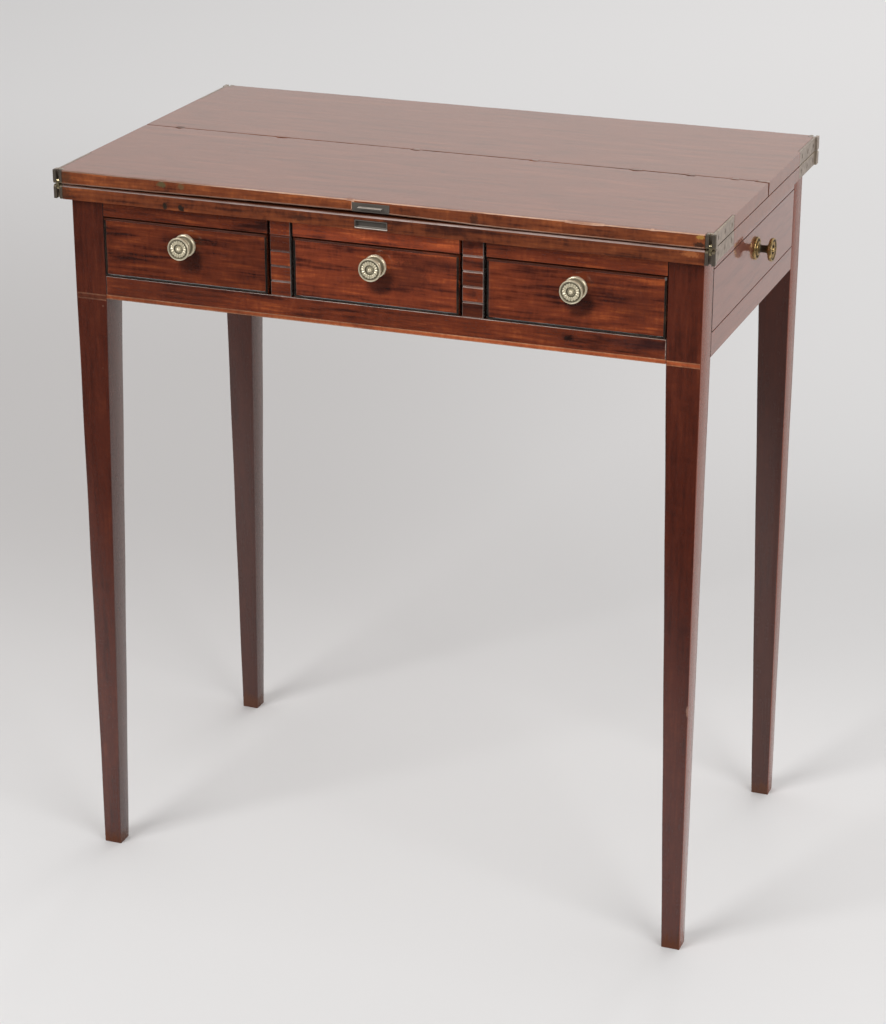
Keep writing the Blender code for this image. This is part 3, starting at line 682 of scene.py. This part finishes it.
for side, lift in lip_highlight_lifts.items():
    loper_wood = [loper_material(f"{side}_loper_mahogany", frieze_shades, block_tones[side], 0.0),
                  loper_material(f"{side}_loper_rubbed_highlight", rubbed_highlight_shades * lift, lip_highlight_tones[side], 0.75)]
    for end in ("front", "rear"):
        finished(f"{end}_{side}_loper", loper_wood, "frame_wood", loper_arris)
    if side == "left":
        rings = strip_rings((loper_low.x, loper_high.x), loper_low.y,
                            (drawer_top - loper_groove_width, drawer_top), filler_proud, filler_sunk)
        filling = tube_mesh("left_loper_groove_filling", rings, loper_wood[0])
        hang(filling, "front_left_loper", "frame_wood")


# Drawers
# Oak boxes behind mahogany fronts. The sides are dovetailed into the fronts and the bottoms slide in
# grooves. A half-round bead, black with old polish, is glued round the edge of each front.

drawer_arris = 0.0004
bead_width = 0.0021
bead_proud = 0.0008
bead_sunk = 0.0004
bead_steps = 10
bead_slices = 24
bead_wave = 0.00012
bead_wave_length = 0.036
# Old polish has gone dark round each knob and in patches, with a painted shadow below and right of a knob.
knob_shadow_shift = (0.0040, -0.0045)
knob_shadow_and_grime = (0.0145, 0.0145, (0.022, 0.006, 0.004), 0.7, 0.25)
patch_colour = (0.045, 0.011, 0.007)
dark_patches = {"left": (), "middle": ((0.031, 0.641, 0.022, 0.015, patch_colour, 0.5, 0.8),
                                       (0.050, 0.655, 0.030, 0.008, patch_colour, 0.4, 0.8)),
                "right": ((0.245, 0.640, 0.026, 0.018, patch_colour, 0.35, 0.8),
                          (0.215, 0.654, 0.020, 0.006, patch_colour, 0.3, 0.8))}
# Each front is cut from another board: its lift, and where its figure is taken from.
front_boards = {"left": (0.78, (0.33, 0.7, 0.9)), "middle": (1.32, (0.12, 0.35, 0.62)),
                "right": (1.06, (0.71, 0.15, 0.27))}

# The bead is black on the sides and below, and browner along the top.
bead_wood = Wood("bead_black", "X", (0.005, 0.005, 0.004), (0.013, 0.011, 0.008), (0.04, 0.024, 0.014), 0.5)
on_top = bead_wood.z.step(drawer_top - 2 * bead_width, drawer_top - bead_width)
bead_wood.tint(0.75 * on_top, (0.075, 0.018, 0.008))
bead_wood.mark_face(front_face, ((0.060, 0.6655, 0.014, 0.0020, (0.14, 0.030, 0.011), 0.9),
                                 (0.2729, 0.6644, 0.0014, 0.0020, (0.14, 0.14, 0.135), 0.7)))
bead_wood = bead_wood.shade(0.35, 0.8 - 0.75 * on_top, 0.14, glare=0.1)


def bead_rings(x_span, z_span, face):
    """A half-round profile carried round a rectangle, mitred at its corners, with slight waves along it."""
    across, out = half_round(bead_width, bead_proud, bead_sunk, bead_steps)
    corners = np.array([(x_span[0], z_span[0]), (x_span[1], z_span[0]), (x_span[1], z_span[1]),
                        (x_span[0], z_span[1])])
    inward = np.array([(1, 1), (-1, 1), (-1, -1), (1, -1)])
    side = np.repeat(np.arange(4), bead_slices)
    share = np.tile(np.arange(bead_slices) / bead_slices, 4)[:, None]
    path = corners[side] * (1 - share) + corners[(side + 1) % 4] * share
    push = inward[side] * (1 - share) + inward[(side + 1) % 4] * share
    inset = across + bead_width / 2
    wave = bead_wave * np.sin(path.sum(axis=1) * 2 * np.pi / bead_wave_length)[:, None]
    x = path[:, :1] + push[:, :1] * inset
    z = path[:, 1:] + push[:, 1:] * inset
    return np.stack([x, face - out + wave * np.clip(out, 0, None) / bead_proud, z], axis=-1)


for side, (lift, offset) in front_boards.items():
    name = side + "_drawer"
    low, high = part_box(name + "_front")
    middle = (low + high) / 2
    front_wood = frieze_wood(name + "_mahogany", "X", offset, lift, 0.12)
    # The painted shadow of the knob over its dark old polish, and the wood's dark patches.
    shadow_round_knob = (middle.x + knob_shadow_shift[0], middle.z + knob_shadow_shift[1], *knob_shadow_and_grime)
    front_wood.mark_face(front_face, (shadow_round_knob, *dark_patches[side]))
    finished(name + "_front", [front_wood.shade(0.25, 0.9, 0.12)], "frame_wood", None)
    rings = bead_rings((low.x, high.x), (low.z, high.z), front_face)
    hang(tube_mesh(name + "_bead", rings, bead_wood, closed=True), name, "frame_wood")
    for board, wood in (("left_side", oak_along_y), ("right_side", oak_along_y), ("back", oak_along_x),
                        ("bottom", oak_along_x)):
        finished(f"{name}_{board}", [wood], "inner_wood", drawer_arris)


# Knobs
# Four knobs of cast and turned brass: a dished plate with a rim, a waisted neck, and a disc with a rim, a
# ring of stamped petals and a boss. The brass is bright on the high parts and brown in the hollows. The
# one on the right-hand end has a longer neck.

knob_sides = 192
arc_steps = 7
petals = 18
petal_rise = 0.0007
petal_inner = 0.0044
petal_outer = 0.0086
petal_steps = 16
plate_radius = 0.0108
plate_edge = 0.0012
rim_width = 0.0011
rim_top = 0.0027
dish_depth = 0.0015
collar_radius = 0.0066
collar_bead = 0.0007
collar_top = 0.0036
neck_radius = 0.0034
neck_place = 0.0068
stem_radius = 0.0016
disc_radius = 0.0109
disc_back_radius = 0.0096
disc_back = 0.0112
disc_edge = 0.0134
disc_rim_top = 0.0150
disc_face = 0.0140
moat_depth = 0.0008
moat_outer = 0.0043
boss_radius = 0.0022
boss_tip = 0.0159
end_neck = 0.0025


def quarter(start, end, leaves):
    """Points of a quarter ellipse between two points of (radius, height). leaves: along or across first."""
    angle = np.linspace(0, np.pi / 2, arc_steps + 1)[1:, None]
    slow, fast = 1 - np.cos(angle), np.sin(angle)
    share = np.hstack((slow, fast) if leaves == "along" else (fast, slow))
    return start + (end - start) * share


def knob_profile(stem):
    """Radii and heights from the tip of the stem to the tip of the boss, as lines and quarter ellipses."""
    inner_plate, moat = plate_radius - rim_width, disc_face - moat_depth
    back = [(stem_radius, -stem, ""), (stem_radius, weld_distance, ""), (plate_radius, weld_distance, ""),
            (plate_radius, plate_edge, ""), (inner_plate, rim_top, "along"),
            (inner_plate - rim_width, dish_depth, "across"), (collar_radius + collar_bead, dish_depth, ""),
            (collar_radius, (dish_depth + collar_top) / 2, "across"),
            (collar_radius - collar_bead, collar_top, "along"), (neck_radius, neck_place, "across"),
            (disc_back_radius, disc_back, "along"), (disc_radius, disc_edge, "across"),
            (disc_radius - rim_width / 2, disc_rim_top, "along"),
            (disc_radius - 1.7 * rim_width, disc_face, "across")]
    face = [(radius, disc_face, "") for radius in np.linspace(petal_outer, petal_inner, petal_steps)]
    boss = [(moat_outer, moat, "along"), (boss_radius, moat, ""), (0, boss_tip, "along")]
    points = [np.array([(0, -stem)])]
    for radius, height, leaves in back + face + boss:
        end = np.array([(radius, height)])
        points.append(quarter(points[-1][-1:], end, leaves) if leaves else end)
    return np.concatenate(points)


def knob_grid(stem):
    """The profile turned round its line, as radius, angle and height.

    On the face, each petal swells as half a wave along it and across it.
    """
    profile = knob_profile(stem)
    radius, turn = np.meshgrid(profile[:, 0], 2 * np.pi * np.arange(knob_sides) / knob_sides, indexing="ij")
    height = profile[:, 1:] + 0 * turn
    along = np.clip((radius - petal_inner) / (petal_outer - petal_inner), 0, 1)
    on_face = np.abs(height - disc_face) < weld_distance
    swell = np.sqrt(np.sin(np.pi * along).clip(0)) * np.abs(np.cos(turn * petals / 2)) ** 0.7
    return radius, turn, height + petal_rise * swell * on_face


def hollowness(radius, height):
    """How far a point lies in a hollow: between the petals, in the moat, inside a rim, or on the neck."""
    on_face = (height > disc_back + weld_distance) & (radius < petal_outer) & (radius > boss_radius)
    between = on_face * np.clip((disc_face + 0.8 * petal_rise - height) / (0.8 * petal_rise), 0, 1)
    off_groove = np.abs(radius - petal_outer - 0.3 * rim_width) / rim_width
    groove = (height > disc_edge) * np.clip(1.4 - off_groove, 0, 1)
    dish = (height < collar_top) * (radius > collar_radius) * (radius < plate_radius - 1.5 * rim_width)
    waist = np.clip(1 - (radius - neck_radius) / (collar_radius - neck_radius), 0, 1)
    waist = waist * (height > collar_top) * (height < disc_back)
    hollow = 0.95 * between + 0.8 * groove + 0.75 * dish + 0.9 * waist
    return np.clip(hollow, 0, 1).astype(np.float32)


def hollow_tone(place):
    """A knob's tone: thick in its hollows."""
    return 1 - Field(add_node(place.id_data, "Attribute", attribute_name="hollow").outputs["Fac"])


def toned_brass(name, bright, dull, roughness, metal=(0.75, 1.0), evenness=0.0, tone=None, grain=0.35):
    """Brass under a tone that is thick where noise is low. tone gives where else it is thick, as 0.

    grain is how rough the casting feels.
    """
    material, tree, shader = new_material(name)
    place = add_node(tree, "TexCoord").outputs["Object"]
    share = noise_of(place, (210, 210, 210), 4.0, 0.4).step(0.40, 0.62) * (1 - evenness) + evenness
    if tone:
        share = share * tone(place)
    feed(shader, {
        "Base Color": mix_colour(share, (*dull, 1), (*bright, 1)),
        "Roughness": share.ramp(0, 1, roughness + 0.18, roughness - 0.05),
        "Metallic": share.ramp(0, 1, *metal),
        "Normal": bump_of(noise_of(place, (1500, 1500, 1500)), 0.00005, grain),
    })
    return material


knob_brass = toned_brass("knob_brass", (0.93, 0.83, 0.60), (0.050, 0.038, 0.014), 0.26, (0.1, 0.5), 0.9,
                         hollow_tone, 0.08)
end_brass = toned_brass("end_knob_brass", (0.62, 0.42, 0.17), (0.016, 0.010, 0.007), 0.3, (0.4, 0.9), 0.5,
                        hollow_tone, 0.08)
end_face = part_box(sham)[1].x
# Which ways a knob goes across, up and out, on a drawer and on the right-hand end.
drawer_ways = np.array(((1, 0, 0), (0, 0, 1), (0, -1, 0)))
end_ways = np.array(((0, 1, 0), (0, 0, 1), (1, 0, 0)))
for node in ("left_drawer_knob", "middle_drawer_knob", "right_drawer_knob", "right_end_knob"):
    low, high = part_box(node)
    middle = (low + high) / 2
    seat, ways, stem, brass = (middle.x, front_face, middle.z), drawer_ways, high.y - front_face, knob_brass
    on_end = node == "right_end_knob"
    if on_end:
        seat, ways, stem, brass = (end_face, middle.y, middle.z), end_ways, end_face - low.x, end_brass
    radius, turn, height = knob_grid(stem)
    own = np.stack([radius * np.cos(turn), radius * np.sin(turn), height], axis=-1)
    mesh = tube_mesh(node + "_turned", seat + own @ ways, brass)
    points = points_of(mesh)
    across, up, height = ((points - seat) @ ways.T).T
    layer = mesh.attributes.new("hollow", "FLOAT", "POINT")
    layer.data.foreach_set("value", hollowness(np.hypot(across, up), height))
    if on_end:
        points[:, 0] += end_neck * (height > neck_place)
        mesh.vertices.foreach_set("co", points.ravel())
    hang(mesh, frame["nodes"][node]["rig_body"], "knob_brass", node)


# Top
# Three mahogany leaves of one thickness: a fixed board, and two flaps that lie on it and meet at a seam.
# Their polish has dulled to satin. The arrises are rubbed light, with a painted highlight, and chipped,
# and the front flap has lifted from the board along the middle of its edge.

leaf_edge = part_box("top_board")[1].y
leaf_slice = 0.003
flap_arris = 0.0005
board_arris = 0.0003
slice_inset = 0.011
edge_cuts = (0.0010, 0.0028, 0.006, 0.012, 0.022, 0.036)
seam_cuts = (0.0010, 0.0036)
flap_arris_reach = 0.0035
board_arris_reach = 0.0012
edge_wander = 0.00016
lift_centre = -0.020
lift_left = 0.300
lift_right = 0.170
lift_rise = 0.0024
lift_depth = 0.036
lift_high = 0.0040
seam_corner_reach = 0.014
seam_corner_wear = 0.0006
wave_lengths = (0.190, 0.083, 0.031, 0.011)
wave_shares = (0.3, 0.25, 0.25, 0.2)
# Chips: place along the edge, half length and depth.
front_chips = ((0.2000, 0.017, 0.0011), (0.188, 0.004, 0.0008), (0.213, 0.005, 0.0007),
               (-0.2068, 0.003, 0.0008), (-0.1864, 0.003, 0.0007), (-0.019, 0.003, 0.0009),
               (0.262, 0.004, 0.0005), (-0.292, 0.004, 0.0005))
seam_chips = ((-0.28, 0.004, 0.0006), (-0.17, 0.006, 0.0005), (-0.03, 0.005, 0.0006), (0.09, 0.004, 0.0005),
              (0.19, 0.006, 0.0007), (0.243, 0.004, 0.0008), (0.285, 0.005, 0.0006), (0.317, 0.012, 0.0010))
edge_shades = np.array(((0.045, 0.011, 0.005), (0.165, 0.044, 0.013), (0.34, 0.105, 0.027)))
leaf_shades = ((0.165, 0.046, 0.019), (0.225, 0.061, 0.025), (0.30, 0.085, 0.036))
# The upper arrises: rubbed wood with a painted highlight.
flap_rubbed_highlight_shades = ((0.30, 0.13, 0.08), (0.58, 0.33, 0.22), (0.80, 0.58, 0.45))
board_rubbed_highlight_shades = ((0.17, 0.11, 0.09), (0.33, 0.23, 0.20), (0.52, 0.42, 0.38))
bruise_colour = (0.05, 0.02, 0.015)
# Old plugs, stains and golden patches of the long edges: centre and half size in X and Z, colour, strength.
edge_marks = (
    (-0.2070, 0.7070, 0.0045, 0.0026, (0.08, 0.09, 0.04), 0.7),
    (-0.1868, 0.7065, 0.0035, 0.0030, (0.12, 0.09, 0.04), 0.6),
    (-0.2037, 0.6870, 0.0026, 0.0032, (0.018, 0.014, 0.009), 0.95),
    (-0.1874, 0.6862, 0.0034, 0.0034, (0.016, 0.012, 0.008), 0.95),
    (0.0990, 0.7040, 0.0045, 0.0050, (0.05, 0.018, 0.010), 0.8),
    (-0.0190, 0.7105, 0.0030, 0.0012, (0.03, 0.012, 0.008), 0.9),
    (-0.0680, 0.6890, 0.0080, 0.0030, (0.05, 0.016, 0.008), 0.7),
    (0.2970, 0.6926, 0.0085, 0.0028, (0.40, 0.13, 0.04), 0.6),
    (0.3060, 0.7085, 0.0035, 0.0024, (0.42, 0.23, 0.045), 0.75),
    (0.3050, 0.7010, 0.0060, 0.0030, (0.02, 0.012, 0.008), 0.8),
    (-0.3140, 0.7045, 0.0160, 0.0080, (0.05, 0.028, 0.014), 0.6),
    (-0.3140, 0.6900, 0.0140, 0.0080, (0.05, 0.020, 0.010), 0.6),
)


def wander(x, seed):
    """A slow wave along x: sines of several lengths, each with its own phase."""
    phases = np.random.default_rng(seed).uniform(0, 2 * np.pi, len(wave_lengths))
    return sum(share * np.sin(2 * np.pi * x / length + phase)
               for share, length, phase in zip(wave_shares, wave_lengths, phases))


def nearness(distance, reach):
    """1 at no distance, down in a straight line to 0 at reach."""
    return np.clip(1 - np.abs(distance) / reach, 0, 1)


def chip_depths(x, chips):
    """How deep the arris is chipped at x: half an ellipse at each chip."""
    depth = np.zeros_like(x)
    for centre, half, deep in chips:
        share = np.clip(np.abs(x - centre) / half, 0, 1)
        depth = np.maximum(depth, deep * np.sqrt(1 - share ** 2))
    return depth


def slice_leaf(bm, low, high, edges, seam):
    """Cuts the faces of a leaf across every few millimetres, and along near its edges and its seam."""
    across = np.arange(low.x + slice_inset, high.x - slice_inset, leaf_slice)
    planes = [((x, 0, 0), (1, 0, 0)) for x in across]
    planes += [((0, edge - np.sign(edge) * inset, 0), (0, 1, 0)) for edge in edges for inset in edge_cuts]
    if seam is not None:
        planes += [((0, seam + np.sign(edges[0]) * inset, 0), (0, 1, 0)) for inset in seam_cuts]
    for point, normal in planes:
        bmesh.ops.bisect_plane(bm, geom=[*bm.verts, *bm.edges, *bm.faces], dist=fine_weld, plane_co=point,
                               plane_no=normal)


def wear_leaf(mesh, low, high, edges, seam, chips, seed, reach, rise):
    """Moves the points of a leaf near its arrises: waves, chips, and the lifted underside of its edge.

    The board, which has no seam, keeps its lower arrises.
    """
    points = points_of(mesh).astype(float)
    x, y, z = points.T.copy()
    from_top, from_bottom = high.z - z, z - low.z
    worn = [(edge, np.sign(edge), -1, from_top, chips) for edge in edges]
    if seam is not None:
        inward = -np.sign(edges[0])
        worn += [(edge, np.sign(edge), 1, from_bottom, ()) for edge in edges]
        worn.append((seam, inward, -1, from_top, seam_chips))
        corner = nearness(high.x - x, seam_corner_reach) * (np.abs(seam - y) < weld_distance)
        points[:, 1] -= inward * seam_corner_wear * corner ** 2
    for edge, outward, way, away, marks in worn:
        share = nearness(np.abs(edge - y) + away, reach)
        depth = share * (edge_wander * (1 + wander(x, seed)) + chip_depths(x, marks))
        points[:, 1] -= outward * depth
        points[:, 2] += way * depth
    along = nearness(x - lift_centre, np.where(x < lift_centre, lift_left, lift_right))
    under = np.clip((lift_high - from_bottom) / (lift_high / 2), 0, 1)
    hump = along * along * (3 - 2 * along)
    points[:, 2] += rise * hump * nearness(edges[0] - y, lift_depth) ** 1.5 * under
    mesh.vertices.foreach_set("co", points.ravel())


def leaf_wood(name, shades):
    """Close, straight grain with long streaks, and two small dark bruises on the front flap."""
    wood = Wood(name, "X", *shades, 0.10, (0.15, 0.45, 0.8))
    wood.mark((0.0247, -0.0711, 0.711), (0.0020, 0.0012, 0.01), bruise_colour, 0.8)
    wood.mark((0.2246, -0.1017, 0.711), (0.0016, 0.0016, 0.01), bruise_colour, 0.8)
    return wood


def leaf_edge_wood(name, lift, offset):
    """The long edge: warm brown with dark and golden patches, old plugs and stains."""
    wood = Wood(name, "X", *(edge_shades * lift), 0.18, offset)
    wood.mark_face(-leaf_edge, edge_marks)
    return wood.shade(0.34, 0.7, 0.2)


def rubbed_highlight_leaf(name, shades):
    """Worn upper arrises with a painted highlight, kept dark below and towards the left-hand end."""
    wood = leaf_wood(name, shades)
    pale_share = wood.x.step(-0.25, -0.04) * normal_parts(wood.tree)[2].step(-0.3, 0.0)
    wood.tint(0.75 * (1 - pale_share), (0.08, 0.026, 0.012))
    return wood.shade(0.4, 0.4, 0.25)


flap_edge_wood = leaf_edge_wood("flap_edge_mahogany", (1.06, 0.94, 0.94), (0.6, 0.1, 0.3))
board_edge_wood = leaf_edge_wood("board_edge_mahogany", (0.95, 0.82, 0.80), (0.25, 0.5, 0.9))
leaf_face = leaf_wood("leaf_mahogany", leaf_shades).shade(0.33, 0.9, 0.2, glare=0.38, swing=0.02)
flap_rubbed_highlight = rubbed_highlight_leaf("flap_mahogany_rubbed_highlight", flap_rubbed_highlight_shades)
board_rubbed_highlight = rubbed_highlight_leaf("board_mahogany_rubbed_highlight", board_rubbed_highlight_shades)
flap_edge = (flap_edge_wood, flap_arris, flap_arris_reach)
board_edge = (board_edge_wood, board_arris, board_arris_reach)
for node, sides, chips, seed, rise, rubbed_and_lit, (edge_wood, arris, reach) in (
    ("top_board", (-1, 1), (), 3, 0.0, board_rubbed_highlight, board_edge),
    ("front_flap", (-1,), front_chips, 11, lift_rise, flap_rubbed_highlight, flap_edge),
    ("rear_flap", (1,), (), 23, 0.0, board_rubbed_highlight, flap_edge),
):
    low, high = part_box(node)
    edges = [low.y if side < 0 else high.y for side in sides]
    seam = {"front_flap": high.y, "rear_flap": low.y}.get(node)
    bm = clean_mesh(node)
    slice_leaf(bm, low, high, edges, seam)
    mesh = mesh_of(bm, node + "_sliced")
    wear_leaf(mesh, low, high, edges, seam, chips, seed, reach, rise)
    finished(node, [leaf_face, rubbed_and_lit, edge_wood], "top_wood", arris, bmesh_of(mesh))


# Hinges
# Cast brass double-pin hinges at the four corners of the top: a fork and a strap on each leaf, with a loose
# link between them. The brass is toned grey-brown, nearly black about the front forks. Three slotted screws,
# worn nearly flush, hold each strap, with old dirt in their slots.

fork_places = (0.1862, 0.1892)
fork_dark = 0.92
hinge_arris = 0.00035
screw_radius = 0.0026
screw_crown = 0.00025
screw_rim = 0.00008
screw_sunk = 0.0004
slot_depth = 0.0006
slot_share = 0.3
slot_tilt = 0.3
slot_rows = (4, 6)
# Places of the screws along a strap, from the corner of the top to the strap's tail.
screw_shares = (0.24, 0.56, 0.88)


def fork_tone(place):
    """A hinge's tone: thick about the forks at the front corners of the top."""
    return 1 - fork_dark * (-1 * parts_of(place)[1]).step(*fork_places)


hinge_brass = toned_brass("hinge_brass", (0.42, 0.35, 0.29), (0.040, 0.029, 0.019), 0.42, (0.1, 0.5), 0.75,
                          fork_tone, 0.2)
hinge_worn = toned_brass("hinge_brass_worn", (0.60, 0.49, 0.33), (0.10, 0.075, 0.042), 0.32, (0.3, 0.9), 0.5,
                         fork_tone, 0.2)
link_brass = toned_brass("link_brass", (0.90, 0.76, 0.46), (0.16, 0.12, 0.06), 0.25, evenness=0.4)


def screw_points():
    """A square grid drawn to a disc: each side of the square is bowed to the circle. (across, along, out)

    The disc is crowned, and the lines between the two middle ones are pressed down to make the slot.
    """
    u = np.array([-1, -0.8, -0.6, -0.4, -slot_share, -slot_share, slot_share, slot_share, 0.4, 0.6, 0.8, 1])
    u, v = np.meshgrid(u, np.linspace(-1, 1, 9), indexing="ij")
    across, along = u * np.sqrt(1 - v ** 2 / 2), v * np.sqrt(1 - u ** 2 / 2)
    out = screw_rim + screw_crown * (1 - across ** 2 - along ** 2)
    out[5:7] = -slot_depth
    return np.stack([across * screw_radius, along * screw_radius, out], axis=-1)


def add_screws(name, body, places):
    """Slotted heads on end faces that look along X. Each slot leans a little from upright."""
    grid = screw_points()
    rows, columns, _ = grid.shape
    k = (np.arange(rows - 1)[:, None] * columns + np.arange(columns - 1)).ravel()
    quads = np.stack([k, k + 1, k + columns + 1, k + columns], axis=-1)
    in_slot = (k // columns >= slot_rows[0]) & (k // columns <= slot_rows[1])
    across, along, out = grid.reshape(-1, 3).T
    x, y, z = np.array(places).T[:, :, None]
    number = np.arange(len(places))[:, None]
    angle = slot_tilt * np.sin(2.4 * number + 0.5)
    heads = np.stack([x + np.sign(x) * out, y + across * np.cos(angle) - along * np.sin(angle),
                      z + across * np.sin(angle) + along * np.cos(angle)], axis=-1)
    faces = (quads + len(out) * number[:, :, None]).reshape(-1, 4)
    bm = welded(heads.reshape(-1, 3), faces, fine_weld, np.tile(in_slot, len(places)))
    rim = [edge for edge in bm.edges if edge.is_boundary]
    skirt = [part for part in bmesh.ops.extrude_edge_only(bm, edges=rim)["geom"]
             if isinstance(part, bmesh.types.BMVert)]
    for way in (-1, 1):
        end_skirt = [corner for corner in skirt if corner.co.x * way > 0]
        bmesh.ops.translate(bm, verts=end_skirt, vec=(-way * screw_sunk, 0, 0))
    bmesh.ops.holes_fill(bm, edges=[edge for edge in bm.edges if edge.is_boundary])
    hang(smooth_mesh(bm, name, [hinge_brass, joint_dirt]), body, "hinge_brass")


screws = {"table": [], "front_flap": [], "rear_flap": []}
for end in ("front", "rear"):
    for side in ("left", "right"):
        finished(f"{end}_{side}_hinge_link", [link_brass], "hinge_brass", hinge_arris)
        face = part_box("top_board")[0 if side == "left" else 1].x
        for leaf in ("board", "flap"):
            node = f"{leaf}_{end}_{side}_hinge_plate"
            finished(node, [hinge_brass, hinge_worn], "hinge_brass", hinge_arris)
            low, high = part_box(node)
            corner, tail = (low.y, high.y) if end == "front" else (high.y, low.y)
            screws[frame["nodes"][node]["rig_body"]] += [
                (face, corner + share * (tail - corner), (low.z + high.z) / 2) for share in screw_shares]
for body, places in screws.items():
    add_screws(f"strap_screws_{body}", body, places)


# Catches
# A brass plate let into each flap's hinged edge carries a flat tongue. A shallow brass box in the board's
# edge takes it when the flap lies open. Both are nearly black, with a painted highlight on the top of the
# tongue and on the lower lip of the box.

tongue_top = 0.70515
lip_level = 0.6862
# How strongly the painted highlights of the catches stand out.
catch_highlight_contrast = 0.9


def catch_highlights(place):
    """Painted highlights of a catch: the top of the tongue, which stands proud, and the box's lower lip."""
    _, y, z = parts_of(place)
    proud = abs(y).step(leaf_edge + 0.0002, leaf_edge + 0.0004)
    on_top = z.step(tongue_top - 0.0004, tongue_top - 0.0001)
    on_lip = 1 - z.step(lip_level, lip_level + 0.0004)
    at_front = abs(y).step(leaf_edge - 0.0012, leaf_edge - 0.0004)
    pale_share = proud * on_top + on_lip * (0.7 * at_front + 0.3)
    return catch_highlight_contrast * pale_share + (1 - catch_highlight_contrast)


catch_brass = toned_brass("catch_brass", (0.56, 0.49, 0.43), (0.030, 0.024, 0.017), 0.42, (0.1, 0.25), 0.9,
                          catch_highlights, 0.05)
catch_worn = toned_brass("catch_brass_worn", (0.64, 0.58, 0.51), (0.070, 0.058, 0.044), 0.42, (0.1, 0.25),
                         0.9, catch_highlights, 0.05)
for end in ("front", "rear"):
    for node in (end + "_flap_tongue", end + "_socket"):
        finished(node, [catch_brass, catch_worn], "hinge_brass", hinge_arris)


# Studio
# A pale seamless floor, two soft lights from the front, and bright soft light behind and above the table.

floor_reach = 30.0
paper = (0.80, 0.795, 0.795, 1)
# Colours of the band of painted shade, as seen and as mirrored.
paper_in_shade_band = (0.62, 0.605, 0.60, 1)
mirrored_shade_band = (0.67, 0.61, 0.585, 1)
mirrored_front = (0.03, 0.03, 0.03, 1)
# The band of painted shade lies across the view, which comes in from the right of the table's front.
view_away = (-0.354, 0.935, 0)
view_across = (0.935, 0.354, 0)
sky = (1, 0.985, 0.975, 1)
mirrored_sky = (1, 0.96, 0.925, 1)


def floor_material():
    """Pale paper, a little darker in a band of painted shade under and behind the table.

    What a polished face mirrors of it goes dark out in front, as in a dim room.
    """
    material, tree, shader = new_material("paper_floor")
    place = add_node(tree, "NewGeometry").outputs["Position"]
    mirrored = Field(add_node(tree, "LightPath").outputs["Is Glossy Ray"])
    away = measure("DOT_PRODUCT", place, view_away)
    fading = 1 - measure("DOT_PRODUCT", place, view_across).step(-0.3, 0.75)
    # Painted shade in a band under and behind the table.
    shade_band = away.step(-0.35, 0.95) * (1 - away.step(1.3, 3.4)) * math_of(tree, "MAXIMUM", fading, mirrored)
    colour = mix_colour(shade_band, paper, mix_colour(mirrored, paper_in_shade_band, mirrored_shade_band))
    in_front = 1 - parts_of(place)[1].step(-1.15, -0.35)
    feed(shader, {"Base Color": mix_colour(mirrored * in_front, colour, mirrored_front), "Roughness": 0.9,
                  "Specular IOR Level": 0.1})
    return material


floor_mesh = bpy.data.meshes.new("floor")
floor_corners = floor_reach * np.array([(-1, -1, 0), (1, -1, 0), (1, 1, 0), (-1, 1, 0)])
floor_mesh.from_pydata(floor_corners, [], [(0, 1, 2, 3)])
floor_mesh.materials.append(floor_material())
put_in_scene("floor", floor_mesh)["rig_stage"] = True


def studio_world():
    """Light from all round, which polished faces see dark in front and bright behind and above.

    The top mirrors less of it towards its left-hand end.
    """
    world = bpy.data.worlds.new("studio")
    world.use_nodes = True
    tree = world.node_tree
    x, y, _ = parts_of(add_node(tree, "TexCoord").outputs["Generated"])
    mirrored = Field(add_node(tree, "LightPath").outputs["Is Glossy Ray"])
    dimmer = 0.14 * (1 - x.step(-0.52, -0.18))
    rise = mirrored * (0.25 - dimmer) + 0.50
    feed(tree.nodes["Background"], {"Strength": y.step(-0.45, 0.45) * rise + (0.29 - 0.25 * mirrored),
                                    "Color": mix_colour(mirrored, sky, mirrored_sky)})
    bpy.context.scene.world = world


def soft_light(name, place, aim, size, power, mirrored=True):
    """A square soft box that faces a point."""
    lamp = bpy.data.lights.new(name, "AREA")
    lamp.size = size
    lamp.energy = power
    made = put_in_scene(name, lamp)
    made.location = place
    made.rotation_euler = (Vector(aim) - Vector(place)).to_track_quat("-Z", "Y").to_euler()
    made.visible_glossy = mirrored


studio_world()
middle_of_table = (0, 0, 0.5)
soft_light("left_light", (-1.4, -2.5, 2.3), middle_of_table, 1.5, 54)
soft_light("right_light", (2.3, -1.6, 2.0), middle_of_table, 1.6, 33)
soft_light("back_light", (0.2, 4.6, 4.0), (0.2, 4.6, 0), 3.0, 72, mirrored=False)

camera_data = bpy.data.cameras.new("camera")
camera_data.lens = 94.49
camera_data.sensor_width = 36
camera = put_in_scene("camera", camera_data)
camera.location = (0.88638, -2.34905, 1.33995)
camera.rotation_euler = np.radians((68.31, 0, 20.72))
bpy.context.scene.camera = camera
bpy.context.scene.view_settings.view_transform = "Standard"

low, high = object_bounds()
